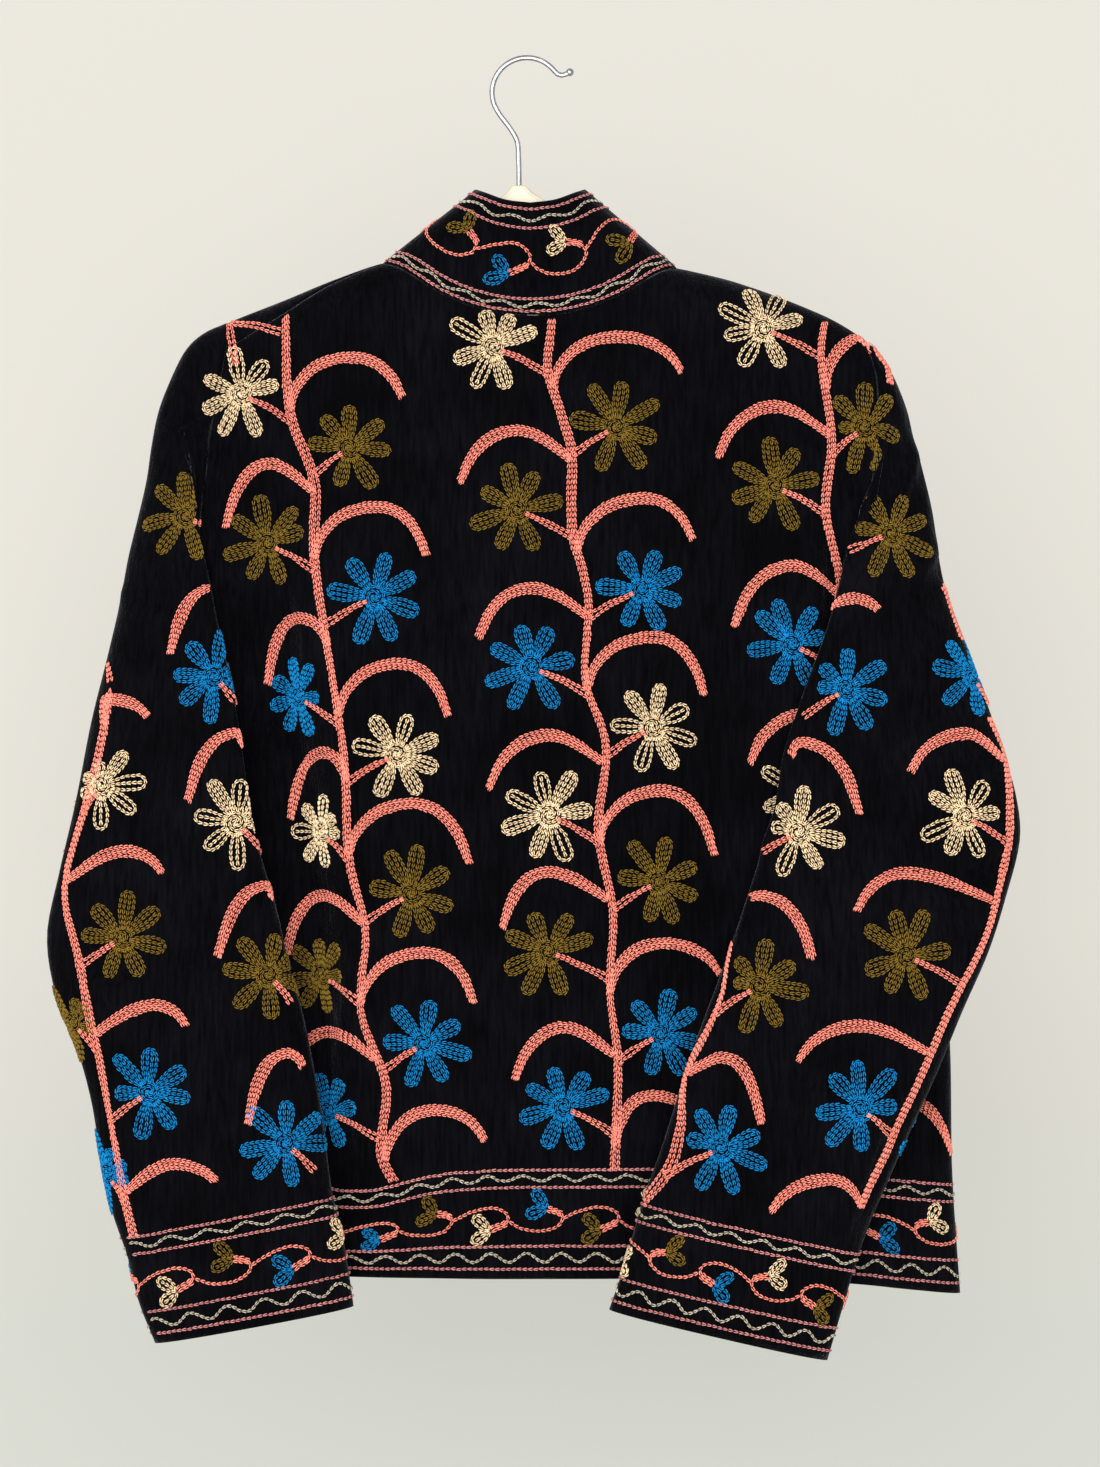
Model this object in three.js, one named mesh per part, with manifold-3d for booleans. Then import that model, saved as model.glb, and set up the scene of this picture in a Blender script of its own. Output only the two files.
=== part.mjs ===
// An embroidered velvet jacket with a stand collar, hung on a wooden hanger with a wire hook.
// Millimetres, +Z up. The jacket's back looks along -Y and its open front along +Y, so the
// wearer's left sleeve is at -X. The origin is the point inside the top of the hook that
// rests on a rail or nail. The cloth hangs nearly flat, leans a little to +X at the hem,
// and both sleeves swing inwards over the back.
//
// Every cloth piece is a grid of outer points with a second grid one cloth thickness inside
// it. Pieces that are sewn together share their seam points and seam directions, and each
// stops half a gap short of the seam.

import * as THREE from 'three';
import Module from 'manifold-3d';

const wasm = await Module();
wasm.setup();

// ---- Driving dimensions -------------------------------------------------------------

const CLOTH = 2.0; // thickness of the velvet with its backing
const SEAM_GAP = 0.5; // between two pieces that are sewn together
const SLEEVE_SEAM_TRIM = 0.7; // how far a sleeve stops short of the armhole's sharp seam
const COLLAR_SEAM_TRIM = 0.4;
const OVERLAY_GAP = 2; // least room between a sleeve and the back that it hangs over
const OVERLAY_REACH = 6; // how far ahead, towards the body's middle, that room is kept
const UNDERARM_ROOM = 6; // more room on the near side below the underarm
const UNDERARM_START = 10; // height above the underarm where that room begins
const UNDERARM_RUN = 40; // height over which it grows
const OUTSIDE_EASE = 2.5; // how fast a sleeve may fall behind that room outside the body's edge

const ARMPIT_Z = -410; // height of both underarm points
const CREST_ROUND = 24; // height over which the cloth rolls off the hanger's arm
const ARMPIT_ROUND = 70; // height over which the armhole opens above the underarm
const ARMPIT_BLEND = 45; // distance inwards over which that opening softens into the body
const ARMHOLE_FULLNESS = 0.72; // depth of the armhole against the depth of the body there
const SIDE_ROUND = 18; // width of the roll at the side seams
const SIDE_SHARE = 0.45; // share of the body's depth that is reached within that roll
const ARMHOLE_REACH = 80; // width over which the body deepens inwards from the armhole
const BELLY_REACH = 130; // distance from the side seam to the body's full depth
const SHOULDER_Z = -178; // height at which the shoulders' width is read
const NECK_Z = -150; // height at which the neck's corners are placed
const HEM_Z = -768; // height at which the hem's places across are read

const NECK_LEFT_X = -91;
const NECK_RIGHT_X = 96;
const BACK_NECK_DROP = 56; // from the shoulder line down to the seam at the middle of the back
const FRONT_NECK_DROP = 104; // and at the front edges
const BACK_NECK_CURVE = 2.1; // 2 is a parabola, more is flatter in the middle
const FRONT_NECK_CURVE = 1.7;
const FRONT_GAP_TOP = 5; // between the two front edges at the neck
const FRONT_GAP_HEM = 20; // and at the hem
const FRONT_GAP_START_Z = -215; // height below which the front edges part
const FRONT_GAP_RUN = 550; // height over which they reach the gap at the hem
const FRONT_EDGE_SHARE = 0.5; // where the front edges hang, as a share of the body's width

const LOWER_ROWS = 13; // hem to underarm
const UPPER_ROWS = 15; // underarm to shoulder seam
const ROW_CROWDING = 0.4; // how much closer the rows stand at the underarm and the shoulder
const SHOULDER_COLUMNS = 5;
const BACK_NECK_COLUMNS = 12;
const FRONT_NECK_COLUMNS = 7;
const COLLAR_ROWS = 6;

const WIRE = 3.4; // hook wire diameter
const HOOK_RADIUS = 22; // hook bend, to the middle of the wire
const HOOK_END_BEAD = 2.6; // radius of the bead on the hook's tip
const STEM_FOOT_Z = -93; // how deep the hook's stem sits in the hanger
const STEM_X = -5;
const HANGER_THICKNESS = 11;
const HANGER_BEVEL = 3;

// ---- Tables ---------------------------------------------------------------------------

// The two sides of the body seen from behind: side seams below the underarm, armholes above.
const LEFT_SIDE = [
  { z: -764, x: -196 },
  { z: -700, x: -198 },
  { z: -600, x: -205 },
  { z: -500, x: -212 },
  { z: -410, x: -214 },
  { z: -340, x: -208 },
  { z: -283, x: -203 },
  { z: -230, x: -197 },
  { z: -192, x: -190 },
  { z: -165, x: -186 },
];
const RIGHT_SIDE = [
  { z: -776, x: 273 },
  { z: -700, x: 268 },
  { z: -610, x: 266 },
  { z: -540, x: 257 },
  { z: -470, x: 242 },
  { z: -410, x: 228 },
  { z: -360, x: 214 },
  { z: -315, x: 210 },
  { z: -279, x: 213 },
  { z: -246, x: 218 },
  { z: -205, x: 219 },
  { z: -178, x: 213 },
];

// The top of the cloth along the hanger's arms, and across the neck between them.
const CREST = [
  { x: -203, z: -172 },
  { x: -185, z: -164 },
  { x: -152, z: -151 },
  { x: -123, z: -139 },
  { x: -91, z: -128 },
  { x: -45, z: -119 },
  { x: 2, z: -116 },
  { x: 50, z: -120 },
  { x: 96, z: -131 },
  { x: 135, z: -141 },
  { x: 185, z: -160 },
  { x: 208, z: -173 },
  { x: 224, z: -187 },
];

// The shoulder seams' place, as a distance over the crest: + is down the back, - the front.
const SHOULDER_SEAM = [
  { x: -190, over: 30 },
  { x: -150, over: 19 },
  { x: -120, over: 9 },
  { x: -91, over: 4 },
  { x: 96, over: 2 },
  { x: 150, over: -3 },
  { x: 213, over: -6 },
];

const HEM = [
  { x: -196, z: -762 },
  { x: -110, z: -763 },
  { x: 22, z: -764 },
  { x: 140, z: -764 },
  { x: 205, z: -768 },
  { x: 273, z: -776 },
];

// How far the middle of each layer stands away from the plane of the hanger.
const DEPTH = [
  { z: -776, back: 27, front: 22 },
  { z: -600, back: 31, front: 22 },
  { z: -410, back: 32, front: 21 },
  { z: -300, back: 27, front: 18 },
  { z: -200, back: 21, front: 17 },
  { z: -130, back: 18, front: 16 },
];

// The largest folds: a ridge (+) or trough (-) that runs from its high end to its low end.
const FOLDS = {
  back: [
    { high_x: -172, high_z: -262, low_x: -118, low_z: -700, rise: -11, spread: 17 },
    { high_x: -140, high_z: -240, low_x: -92, low_z: -720, rise: 6, spread: 17 },
    { high_x: 190, high_z: -215, low_x: 168, low_z: -440, rise: 5, spread: 15 },
    { high_x: 206, high_z: -240, low_x: 190, low_z: -360, rise: -5, spread: 10 },
    { high_x: -40, high_z: -300, low_x: -25, low_z: -766, rise: 4, spread: 30 },
    { high_x: 105, high_z: -330, low_x: 128, low_z: -770, rise: -5, spread: 26 },
    { high_x: 214, high_z: -560, low_x: 236, low_z: -776, rise: 5, spread: 20 },
  ],
  front: [
    { high_x: -120, high_z: -200, low_x: -140, low_z: -700, rise: 4, spread: 22 },
    { high_x: -66, high_z: -330, low_x: -84, low_z: -764, rise: -5, spread: 22 },
    { high_x: 120, high_z: -210, low_x: 170, low_z: -740, rise: 4, spread: 24 },
    { high_x: 74, high_z: -340, low_x: 108, low_z: -768, rise: -5, spread: 22 },
  ],
};
const FOLD_TAPER = 0.22; // share of a fold's length over which each end runs out
const FOLD_END = 1.12; // where a fold has run out, as a share of its length
const HEM_SAG = { x: -112, z: -708, drop: 15, across: 48, along: 62, foot: -766, rise: 40 };

// The collar's top edge: way is 0 at the middle of the back and 1 at each front edge.
const COLLAR_TOP = [
  { way: 0, x: 0, y: -23, z: -92.5 },
  { way: 0.2, x: 16, y: -20, z: -90 },
  { way: 0.36, x: 30, y: -11, z: -84 },
  { way: 0.47, x: 35.5, y: 1, z: -82 },
  { way: 0.62, x: 34, y: 14, z: -93 },
  { way: 0.82, x: 21, y: 23, z: -120 },
  { way: 1, x: 4, y: 26, z: -150 },
];
const COLLAR_MIDDLE_X = 2;
const COLLAR_BULGE = 3.5;
const COLLAR_BULGE_REACH = 8; // distance from the hanger's plane to the whole bulge

// Sleeve rings from the armhole to the cuff. The edge away from the body is the "out" one and
// the underarm edge is the "in" one. near and far are the depths towards the back and the
// front. roll moves the near side over the body, and away moves the far side out from it.
const RING_KEYS = [
  'out_x', 'out_z', 'in_x', 'in_z', 'out_y', 'in_y', 'near', 'far', 'roll', 'away',
];
const ringsOf = (rows) =>
  rows.map((row) => Object.fromEntries(RING_KEYS.map((key, i) => [key, row[i]])));
const LEFT_SLEEVE = ringsOf([
  [-186, -165, -214, -410, 0, 0, 20, 15, 0, 0],
  [-203, -172, -219, -406, 0, -1, 23.5, 16, 2, 0],
  [-215, -183, -224, -411, 0, -4, 24, 17, 11, 0],
  [-225, -203, -227, -418, -1, -8, 24, 18, 27, 0],
  [-232, -222, -229, -428, -2, -13, 23, 19, 36, 0],
  [-236, -243, -226, -435, -4, -18, 24, 19, 41, -4],
  [-239, -265, -220, -443, -6, -23, 26, 19, 42, -9],
  [-244, -288, -211, -452, -8, -28, 27, 19, 40, -13],
  [-250, -314, -199, -461, -11, -32, 26, 18, 34, -16],
  [-255, -343, -187, -471, -14, -35, 25, 17, 26, -17],
  [-263, -379, -177, -483, -18, -37, 23.5, 16, 18, -14],
  [-272, -417, -167, -498, -22, -39, 22, 15, 10, -8],
  [-281, -466, -159, -518, -27, -41, 21, 15, 4, -3],
  [-291, -511, -153, -540, -31, -43, 20, 14, 0, 0],
  [-298, -550, -147, -568, -35, -44, 20, 14, 0, 0],
  [-292, -587, -139, -595, -38, -45, 19, 14, 0, 0],
  [-279, -619, -133, -623, -40, -46, 18, 14, 0, 0],
  [-270, -651, -128, -651, -41, -46, 18, 14, 0, 0],
  [-264, -686, -124, -680, -42, -46, 18, 14, 0, 0],
  [-257, -719, -120, -709, -43, -46, 18, 14, 0, 0],
  [-247, -748, -114, -734, -44, -46, 18, 14, 0, 0],
  [-240, -776, -110, -757, -44, -46, 17, 13, 0, 0],
  [-230, -801, -107, -778, -44, -46, 17, 13, 0, 0],
]);
const RIGHT_SLEEVE = ringsOf([
  [213, -178, 228, -410, 0, 0, 20, 15, 0, 0],
  [222, -186, 236, -406, 0, -1, 24, 16, -8, 0],
  [231, -200, 242, -411, 0, -3, 25, 17, -24, 0],
  [239, -220, 245, -418, -1, -6, 25, 18, -48, 0],
  [243, -237, 246, -428, -2, -10, 24, 19, -57, 0],
  [249, -259, 243, -436, -4, -15, 25, 19, -64, 8],
  [255, -286, 234, -444, -6, -21, 28, 19, -68, 15],
  [259, -316, 221, -453, -9, -27, 29, 19, -66, 22],
  [265, -343, 205, -461, -12, -32, 27.5, 18, -60, 26],
  [276, -373, 186, -469, -15, -36, 25.5, 17, -48, 26],
  [288, -406, 166, -479, -19, -40, 23.5, 16, -32, 20],
  [297, -434, 151, -492, -23, -43, 22, 15, -20, 11],
  [305, -463, 143, -507, -27, -46, 21, 15, -10, 4],
  [307, -490, 136, -526, -30, -48, 20, 15, -3, 0],
  [299, -522, 128, -550, -33, -50, 19.5, 15, 0, 0],
  [287, -559, 117, -580, -36, -52, 21, 15, 0, 0],
  [270, -597, 105, -612, -39, -54, 20, 15, 0, 0],
  [254, -635, 94, -645, -42, -55, 20, 15, 0, 0],
  [238, -669, 84, -677, -44, -55, 20, 15, 0, 0],
  [224, -700, 74, -705, -46, -55, 19, 15, 0, 0],
  [211, -730, 66, -731, -47, -55, 19, 14, 0, 0],
  [201, -760, 59, -756, -48, -54, 18, 13, 0, 0],
  [186, -811, 51, -779, -48, -54, 17, 13, 0, 0],
]);
const ARMHOLE_FADE_RINGS = 5; // rings over which the armhole's own outline dies away
const SLEEVE_SQUARENESS = 2.4; // 2 is an ellipse
const ROLL_SKEW = 1.5; // 1 rolls the near side evenly, more moves the roll towards the underarm
const ROLL_BREADTH = 1.2; // less is broader

// ---- Helpers ----------------------------------------------------------------------------

const clamp01 = (value) => Math.min(1, Math.max(0, value));
const smooth = (share) => clamp01(share) ** 2 * (3 - 2 * clamp01(share));
const quarterRound = (share) => Math.sqrt(1 - (1 - clamp01(share)) ** 2);
const mix = (a, b, share) => a + (b - a) * share;

// Reads one column of a table that is sorted by another, along a smooth curve.
function read(table, by, at, column) {
  const rising = table[0][by] < table[table.length - 1][by];
  const rows = rising ? table : [...table].reverse();
  if (at <= rows[0][by]) return rows[0][column];
  if (at >= rows[rows.length - 1][by]) return rows[rows.length - 1][column];
  const i = rows.findIndex((row, k) => k > 0 && row[by] >= at) - 1;
  const slope = (k) => {
    const a = rows[Math.max(k - 1, 0)];
    const b = rows[Math.min(k + 1, rows.length - 1)];
    return (b[column] - a[column]) / (b[by] - a[by]);
  };
  const [a, b] = [rows[i], rows[i + 1]];
  const span = b[by] - a[by];
  const t = (at - a[by]) / span;
  return (
    a[column] * (1 + 2 * t) * (1 - t) ** 2 +
    b[column] * t * t * (3 - 2 * t) +
    span * t * (1 - t) * (slope(i) * (1 - t) - slope(i + 1) * t)
  );
}

const leftX = (z) => read(LEFT_SIDE, 'z', z, 'x');
const rightX = (z) => read(RIGHT_SIDE, 'z', z, 'x');
const crestZ = (x) => read(CREST, 'x', x, 'z');
const seamOver = (x) => read(SHOULDER_SEAM, 'x', x, 'over');

// ---- The body's surface -------------------------------------------------------------------

function foldRise(side, x, z) {
  let rise = 0;
  for (const fold of FOLDS[side]) {
    const along = (fold.high_z - z) / (fold.high_z - fold.low_z);
    const middle = mix(fold.high_x, fold.low_x, clamp01(along));
    const ends = smooth(along / FOLD_TAPER) * smooth((FOLD_END - along) / FOLD_TAPER);
    rise += fold.rise * ends * Math.exp(-(((x - middle) / fold.spread) ** 2));
  }
  return rise;
}

// How far the back or front layer stands from the plane of the hanger.
function bodyDepth(side, x, z) {
  const full = read(DEPTH, 'z', z, side);
  const crest = quarterRound((crestZ(x) - z) / CREST_ROUND);
  const inward = Math.max(0, Math.min(x - leftX(z), rightX(z) - x));
  const openedEdge = quarterRound((z - ARMPIT_Z) / ARMPIT_ROUND);
  const openedInside = smooth((z - ARMPIT_Z + ARMPIT_ROUND) / (2 * ARMPIT_ROUND));
  const opened = mix(openedEdge, openedInside, smooth(inward / ARMPIT_BLEND));
  const edge = full * ARMHOLE_FULLNESS * crest * opened;
  const above = smooth((z - ARMPIT_Z) / ARMPIT_ROUND);
  const roll = mix(quarterRound(inward / SIDE_ROUND), smooth(inward / ARMHOLE_REACH), above);
  const across = SIDE_SHARE * roll + (1 - SIDE_SHARE) * smooth(inward / BELLY_REACH);
  const folds = foldRise(side, x, z) * smooth(inward / SIDE_ROUND);
  return edge + (full * crest - edge) * across + folds;
}

// A point on the cloth a given distance over the crest: + down the back, - down the front.
function overCrest(x, over) {
  const side = over >= 0 ? 'back' : 'front';
  const top = crestZ(x);
  const depth = read(DEPTH, 'z', top - CREST_ROUND, side);
  const rollLength = (Math.PI / 2) * Math.sqrt((CREST_ROUND ** 2 + depth ** 2) / 2);
  const way = Math.abs(over);
  const turn = Math.min(way / rollLength, 1) * (Math.PI / 2);
  const z = top - CREST_ROUND * (1 - Math.cos(turn)) - Math.max(0, way - rollLength);
  return new THREE.Vector3(x, (side === 'back' ? -1 : 1) * bodyDepth(side, x, z), z);
}

// The distance over the crest at which the cloth is at a height.
function overAtHeight(x, side, z) {
  const top = crestZ(x);
  const depth = read(DEPTH, 'z', top - CREST_ROUND, side);
  const rollLength = (Math.PI / 2) * Math.sqrt((CREST_ROUND ** 2 + depth ** 2) / 2);
  const way = rollLength + top - CREST_ROUND - z;
  return side === 'back' ? way : -way;
}

// Where the top of a panel ends, as a distance over the crest.
function topOver(side, x) {
  if (x <= NECK_LEFT_X || x >= NECK_RIGHT_X) return seamOver(x);
  const middle = (NECK_LEFT_X + NECK_RIGHT_X) / 2;
  const half = (NECK_RIGHT_X - NECK_LEFT_X) / 2;
  const out = Math.abs(x - middle) / half;
  const corner = seamOver(x < middle ? NECK_LEFT_X : NECK_RIGHT_X);
  return side === 'back'
    ? mix(BACK_NECK_DROP, corner, out ** BACK_NECK_CURVE)
    : mix(-FRONT_NECK_DROP, corner, out ** FRONT_NECK_CURVE);
}

function hemSag(x, z) {
  const across = Math.exp(-(((x - HEM_SAG.x) / HEM_SAG.across) ** 2));
  const along = Math.exp(-(((z - HEM_SAG.z) / HEM_SAG.along) ** 2));
  return HEM_SAG.drop * across * along * smooth((z - HEM_SAG.foot) / HEM_SAG.rise);
}

// One column of a panel, from the hem up. share is its place across the body's width.
function column(side, share) {
  const xAt = (z) => mix(leftX(z), rightX(z), share(z));
  const points = [];
  const hemZ = read(HEM, 'x', xAt(HEM_Z), 'z');
  for (let row = 0; row < LOWER_ROWS; row++) {
    const level = mix(hemZ, ARMPIT_Z, row / LOWER_ROWS);
    const x = xAt(level);
    const z = side === 'back' ? level - hemSag(x, level) : level;
    const depth = bodyDepth(side, x, z);
    points.push(new THREE.Vector3(x, side === 'back' ? -depth : depth, z));
  }
  let top = new THREE.Vector3(xAt(NECK_Z), 0, NECK_Z);
  for (let pass = 0; pass < 12; pass++) {
    const x = xAt(top.z);
    top = overCrest(x, topOver(side, x));
  }
  const low = overAtHeight(xAt(ARMPIT_Z), side, ARMPIT_Z);
  const high = topOver(side, top.x);
  for (let row = 0; row <= UPPER_ROWS; row++) {
    const way = (2 * Math.PI * row) / UPPER_ROWS;
    const rise = (way - ROW_CROWDING * Math.sin(way)) / (2 * Math.PI);
    let point = overCrest(top.x, mix(low, high, rise));
    for (let pass = 0; pass < 6; pass++) point = overCrest(xAt(point.z), mix(low, high, rise));
    points.push(point);
  }
  return points;
}

const even = (from, to, count) =>
  Array.from({ length: count + 1 }, (_, i) => mix(from, to, i / count));

// The shares across the body's width where columns stand, with the roll at each side seam.
const topWidth = rightX(SHOULDER_Z) - leftX(SHOULDER_Z);
const neckLeftShare = (NECK_LEFT_X - leftX(NECK_Z)) / topWidth;
const neckRightShare = (NECK_RIGHT_X - leftX(NECK_Z)) / topWidth;
const ROLL_SHARES = [0, 0.0035, 0.0125, 0.027, 0.048];
const leftShoulder = [
  ...ROLL_SHARES,
  ...even(ROLL_SHARES.at(-1), neckLeftShare, SHOULDER_COLUMNS).slice(1),
];
const rightShoulder = [
  ...even(neckRightShare, 1 - ROLL_SHARES.at(-1), SHOULDER_COLUMNS),
  ...ROLL_SHARES.map((share) => 1 - share)
    .reverse()
    .slice(1),
];
const acrossNeck = even(neckLeftShare, neckRightShare, BACK_NECK_COLUMNS).slice(1, -1);
const backShares = [...leftShoulder, ...acrossNeck, ...rightShoulder];

// The front edges hang a little apart, the more so towards the hem.
function frontShare(z, sign) {
  const gap = mix(FRONT_GAP_TOP, FRONT_GAP_HEM, clamp01((FRONT_GAP_START_Z - z) / FRONT_GAP_RUN));
  return FRONT_EDGE_SHARE + (sign * gap) / 2 / (rightX(z) - leftX(z));
}
function stretched(share, corner, sign) {
  return (z) => mix(corner, frontShare(z, sign), (share - corner) / (FRONT_EDGE_SHARE - corner));
}

const fixed = (share) => () => share;
const backGrid = backShares.map((share) => column('back', fixed(share)));
const leftFrontGrid = [
  ...leftShoulder.map((share) => column('front', fixed(share))),
  ...even(neckLeftShare, FRONT_EDGE_SHARE, FRONT_NECK_COLUMNS)
    .slice(1)
    .map((share) => column('front', stretched(share, neckLeftShare, -1))),
];
const rightFrontGrid = [
  ...even(FRONT_EDGE_SHARE, neckRightShare, FRONT_NECK_COLUMNS)
    .slice(0, -1)
    .map((share) => column('front', stretched(share, neckRightShare, 1))),
  ...rightShoulder.map((share) => column('front', fixed(share))),
];

// ---- Sleeves ----------------------------------------------------------------------------------

const power = (value) => Math.sign(value) * Math.abs(value) ** (2 / SLEEVE_SQUARENESS);

// One point of a sleeve ring. turn is 0 at the outer edge and PI at the underarm, by way of
// the near side.
function ringPoint(ring, turn) {
  const [across, deep] = [power(Math.cos(turn)), power(Math.sin(turn))];
  const share = (1 + across) / 2;
  const isNear = turn < Math.PI;
  const way = isNear ? turn / Math.PI : 2 - turn / Math.PI;
  const bow = Math.max(0, Math.sin(Math.PI * way ** ROLL_SKEW)) ** ROLL_BREADTH;
  const rolled = (isNear ? ring.roll : ring.away) * bow;
  return new THREE.Vector3(
    mix(ring.in_x, ring.out_x, share) + rolled,
    mix(ring.in_y, ring.out_y, share) - (isNear ? ring.near : ring.far) * deep,
    mix(ring.in_z, ring.out_z, share),
  );
}

// Keeps a sleeve point out of the body. The far side above the underarm stays beside the
// armhole. The rest stays in front of the back, the less so the further it is outside the edge.
function clearOfBody(point, isLeft, isNear) {
  const inwards = isLeft ? 1 : -1;
  const edge = isLeft ? leftX(point.z) : rightX(point.z);
  const inside = (point.x - edge) * inwards;
  if (!isNear && point.z > ARMPIT_Z) {
    if (inside > -OVERLAY_GAP) point.x = edge - OVERLAY_GAP * inwards;
    return point;
  }
  const depth = bodyDepth('back', point.x + OVERLAY_REACH * inwards, point.z);
  const below = ARMPIT_Z + UNDERARM_START - point.z;
  const room = OVERLAY_GAP + (isNear ? CLOTH + UNDERARM_ROOM * smooth(below / UNDERARM_RUN) : 0);
  const outside = Math.max(0, -inside - OVERLAY_GAP);
  point.y = Math.min(point.y, outside * OUTSIDE_EASE - depth - room);
  return point;
}

// Each armhole point's turn, by its share of the way from the crest to the underarm and back.
function turnsOf(armhole) {
  const along = [0];
  for (let i = 1; i <= armhole.length; i++) {
    along.push(along[i - 1] + armhole[i % armhole.length].distanceTo(armhole[i - 1]));
  }
  const whole = along.at(-1);
  const highest = armhole.reduce((best, point, i) => (point.z > armhole[best].z ? i : best), 0);
  const fromCrest = (i) => (along[i] - along[highest] + whole) % whole;
  const underarm = fromCrest(UPPER_ROWS);
  return armhole.map((_, i) => {
    const way = fromCrest(i);
    return Math.PI * (way <= underarm ? way / underarm : 1 + (way - underarm) / (whole - underarm));
  });
}

function sleeveGrid(table, armhole, isLeft) {
  const turns = turnsOf(armhole);
  const plain = turns.map((turn) => ringPoint(table[0], turn));
  return table.map((ring, row) => {
    const fade = (1 - Math.min(1, row / ARMHOLE_FADE_RINGS)) ** 2;
    return turns.map((turn, i) => {
      const point = ringPoint(ring, turn);
      point.addScaledVector(armhole[i].clone().sub(plain[i]), fade);
      return row === 0 ? point : clearOfBody(point, isLeft, turn < Math.PI);
    });
  });
}

// The armhole's points once round: from the shoulder seam down the back, then up the front.
function armholeOf(backColumn, frontColumn) {
  const down = backColumn.slice(LOWER_ROWS).reverse();
  const up = frontColumn.slice(LOWER_ROWS + 1, -1);
  return [...down, ...up];
}
const leftArmhole = armholeOf(backGrid[0], leftFrontGrid[0]);
const rightArmhole = armholeOf(backGrid.at(-1), rightFrontGrid.at(-1));
const leftSleeveGrid = sleeveGrid(LEFT_SLEEVE, leftArmhole, true);
const rightSleeveGrid = sleeveGrid(RIGHT_SLEEVE, rightArmhole, false);

// ---- Collar -----------------------------------------------------------------------------------

const lastOf = (columns) => columns.map((points) => points.at(-1));
const cornerAt = leftShoulder.length - 1;
const collarSeam = [
  ...lastOf(leftFrontGrid.slice(cornerAt)).reverse().slice(0, -1),
  ...lastOf(backGrid.slice(cornerAt, cornerAt + BACK_NECK_COLUMNS + 1)),
  ...lastOf(rightFrontGrid.slice(0, FRONT_NECK_COLUMNS)).reverse(),
];

function collarGrid(seam) {
  const along = [0];
  for (let i = 1; i < seam.length; i++) along.push(along[i - 1] + seam[i].distanceTo(seam[i - 1]));
  const middle = along[FRONT_NECK_COLUMNS + BACK_NECK_COLUMNS / 2];
  return Array.from({ length: COLLAR_ROWS + 1 }, (_, row) =>
    seam.map((foot, i) => {
      const half = along[i] < middle ? middle : along.at(-1) - middle;
      const signed = (along[i] - middle) / half;
      const way = Math.abs(signed);
      const sign = Math.sign(signed) || 1;
      const top = new THREE.Vector3(
        COLLAR_MIDDLE_X + sign * read(COLLAR_TOP, 'way', way, 'x'),
        read(COLLAR_TOP, 'way', way, 'y'),
        read(COLLAR_TOP, 'way', way, 'z'),
      );
      const share = row / COLLAR_ROWS;
      const point = foot.clone().lerp(top, share);
      const bulge = COLLAR_BULGE * Math.sin(Math.PI * share);
      point.y += Math.sign(point.y) * bulge * clamp01(Math.abs(point.y) / COLLAR_BULGE_REACH);
      return point;
    }),
  );
}
const collarPoints = collarGrid(collarSeam);

// ---- Cloth walls --------------------------------------------------------------------------------

// Outward directions at each point of a grid. wraps joins each line's last point to its first.
function normalsOf(grid, wraps, outward) {
  const rows = grid.length;
  return grid.map((line, r) =>
    line.map((_, c) => {
      const next = wraps ? line[(c + 1) % line.length] : line[Math.min(c + 1, line.length - 1)];
      const last = wraps ? line[(c + line.length - 1) % line.length] : line[Math.max(c - 1, 0)];
      const up = grid[Math.min(r + 1, rows - 1)][c].clone().sub(grid[Math.max(r - 1, 0)][c]);
      return next.clone().sub(last).cross(up).multiplyScalar(outward).normalize();
    }),
  );
}

// Gives all the pieces that meet at a seam point the same outward direction.
function shareNormals(...normals) {
  const sum = normals.reduce((total, normal) => total.add(normal), new THREE.Vector3());
  sum.normalize();
  normals.forEach((normal) => normal.copy(sum));
}

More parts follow.
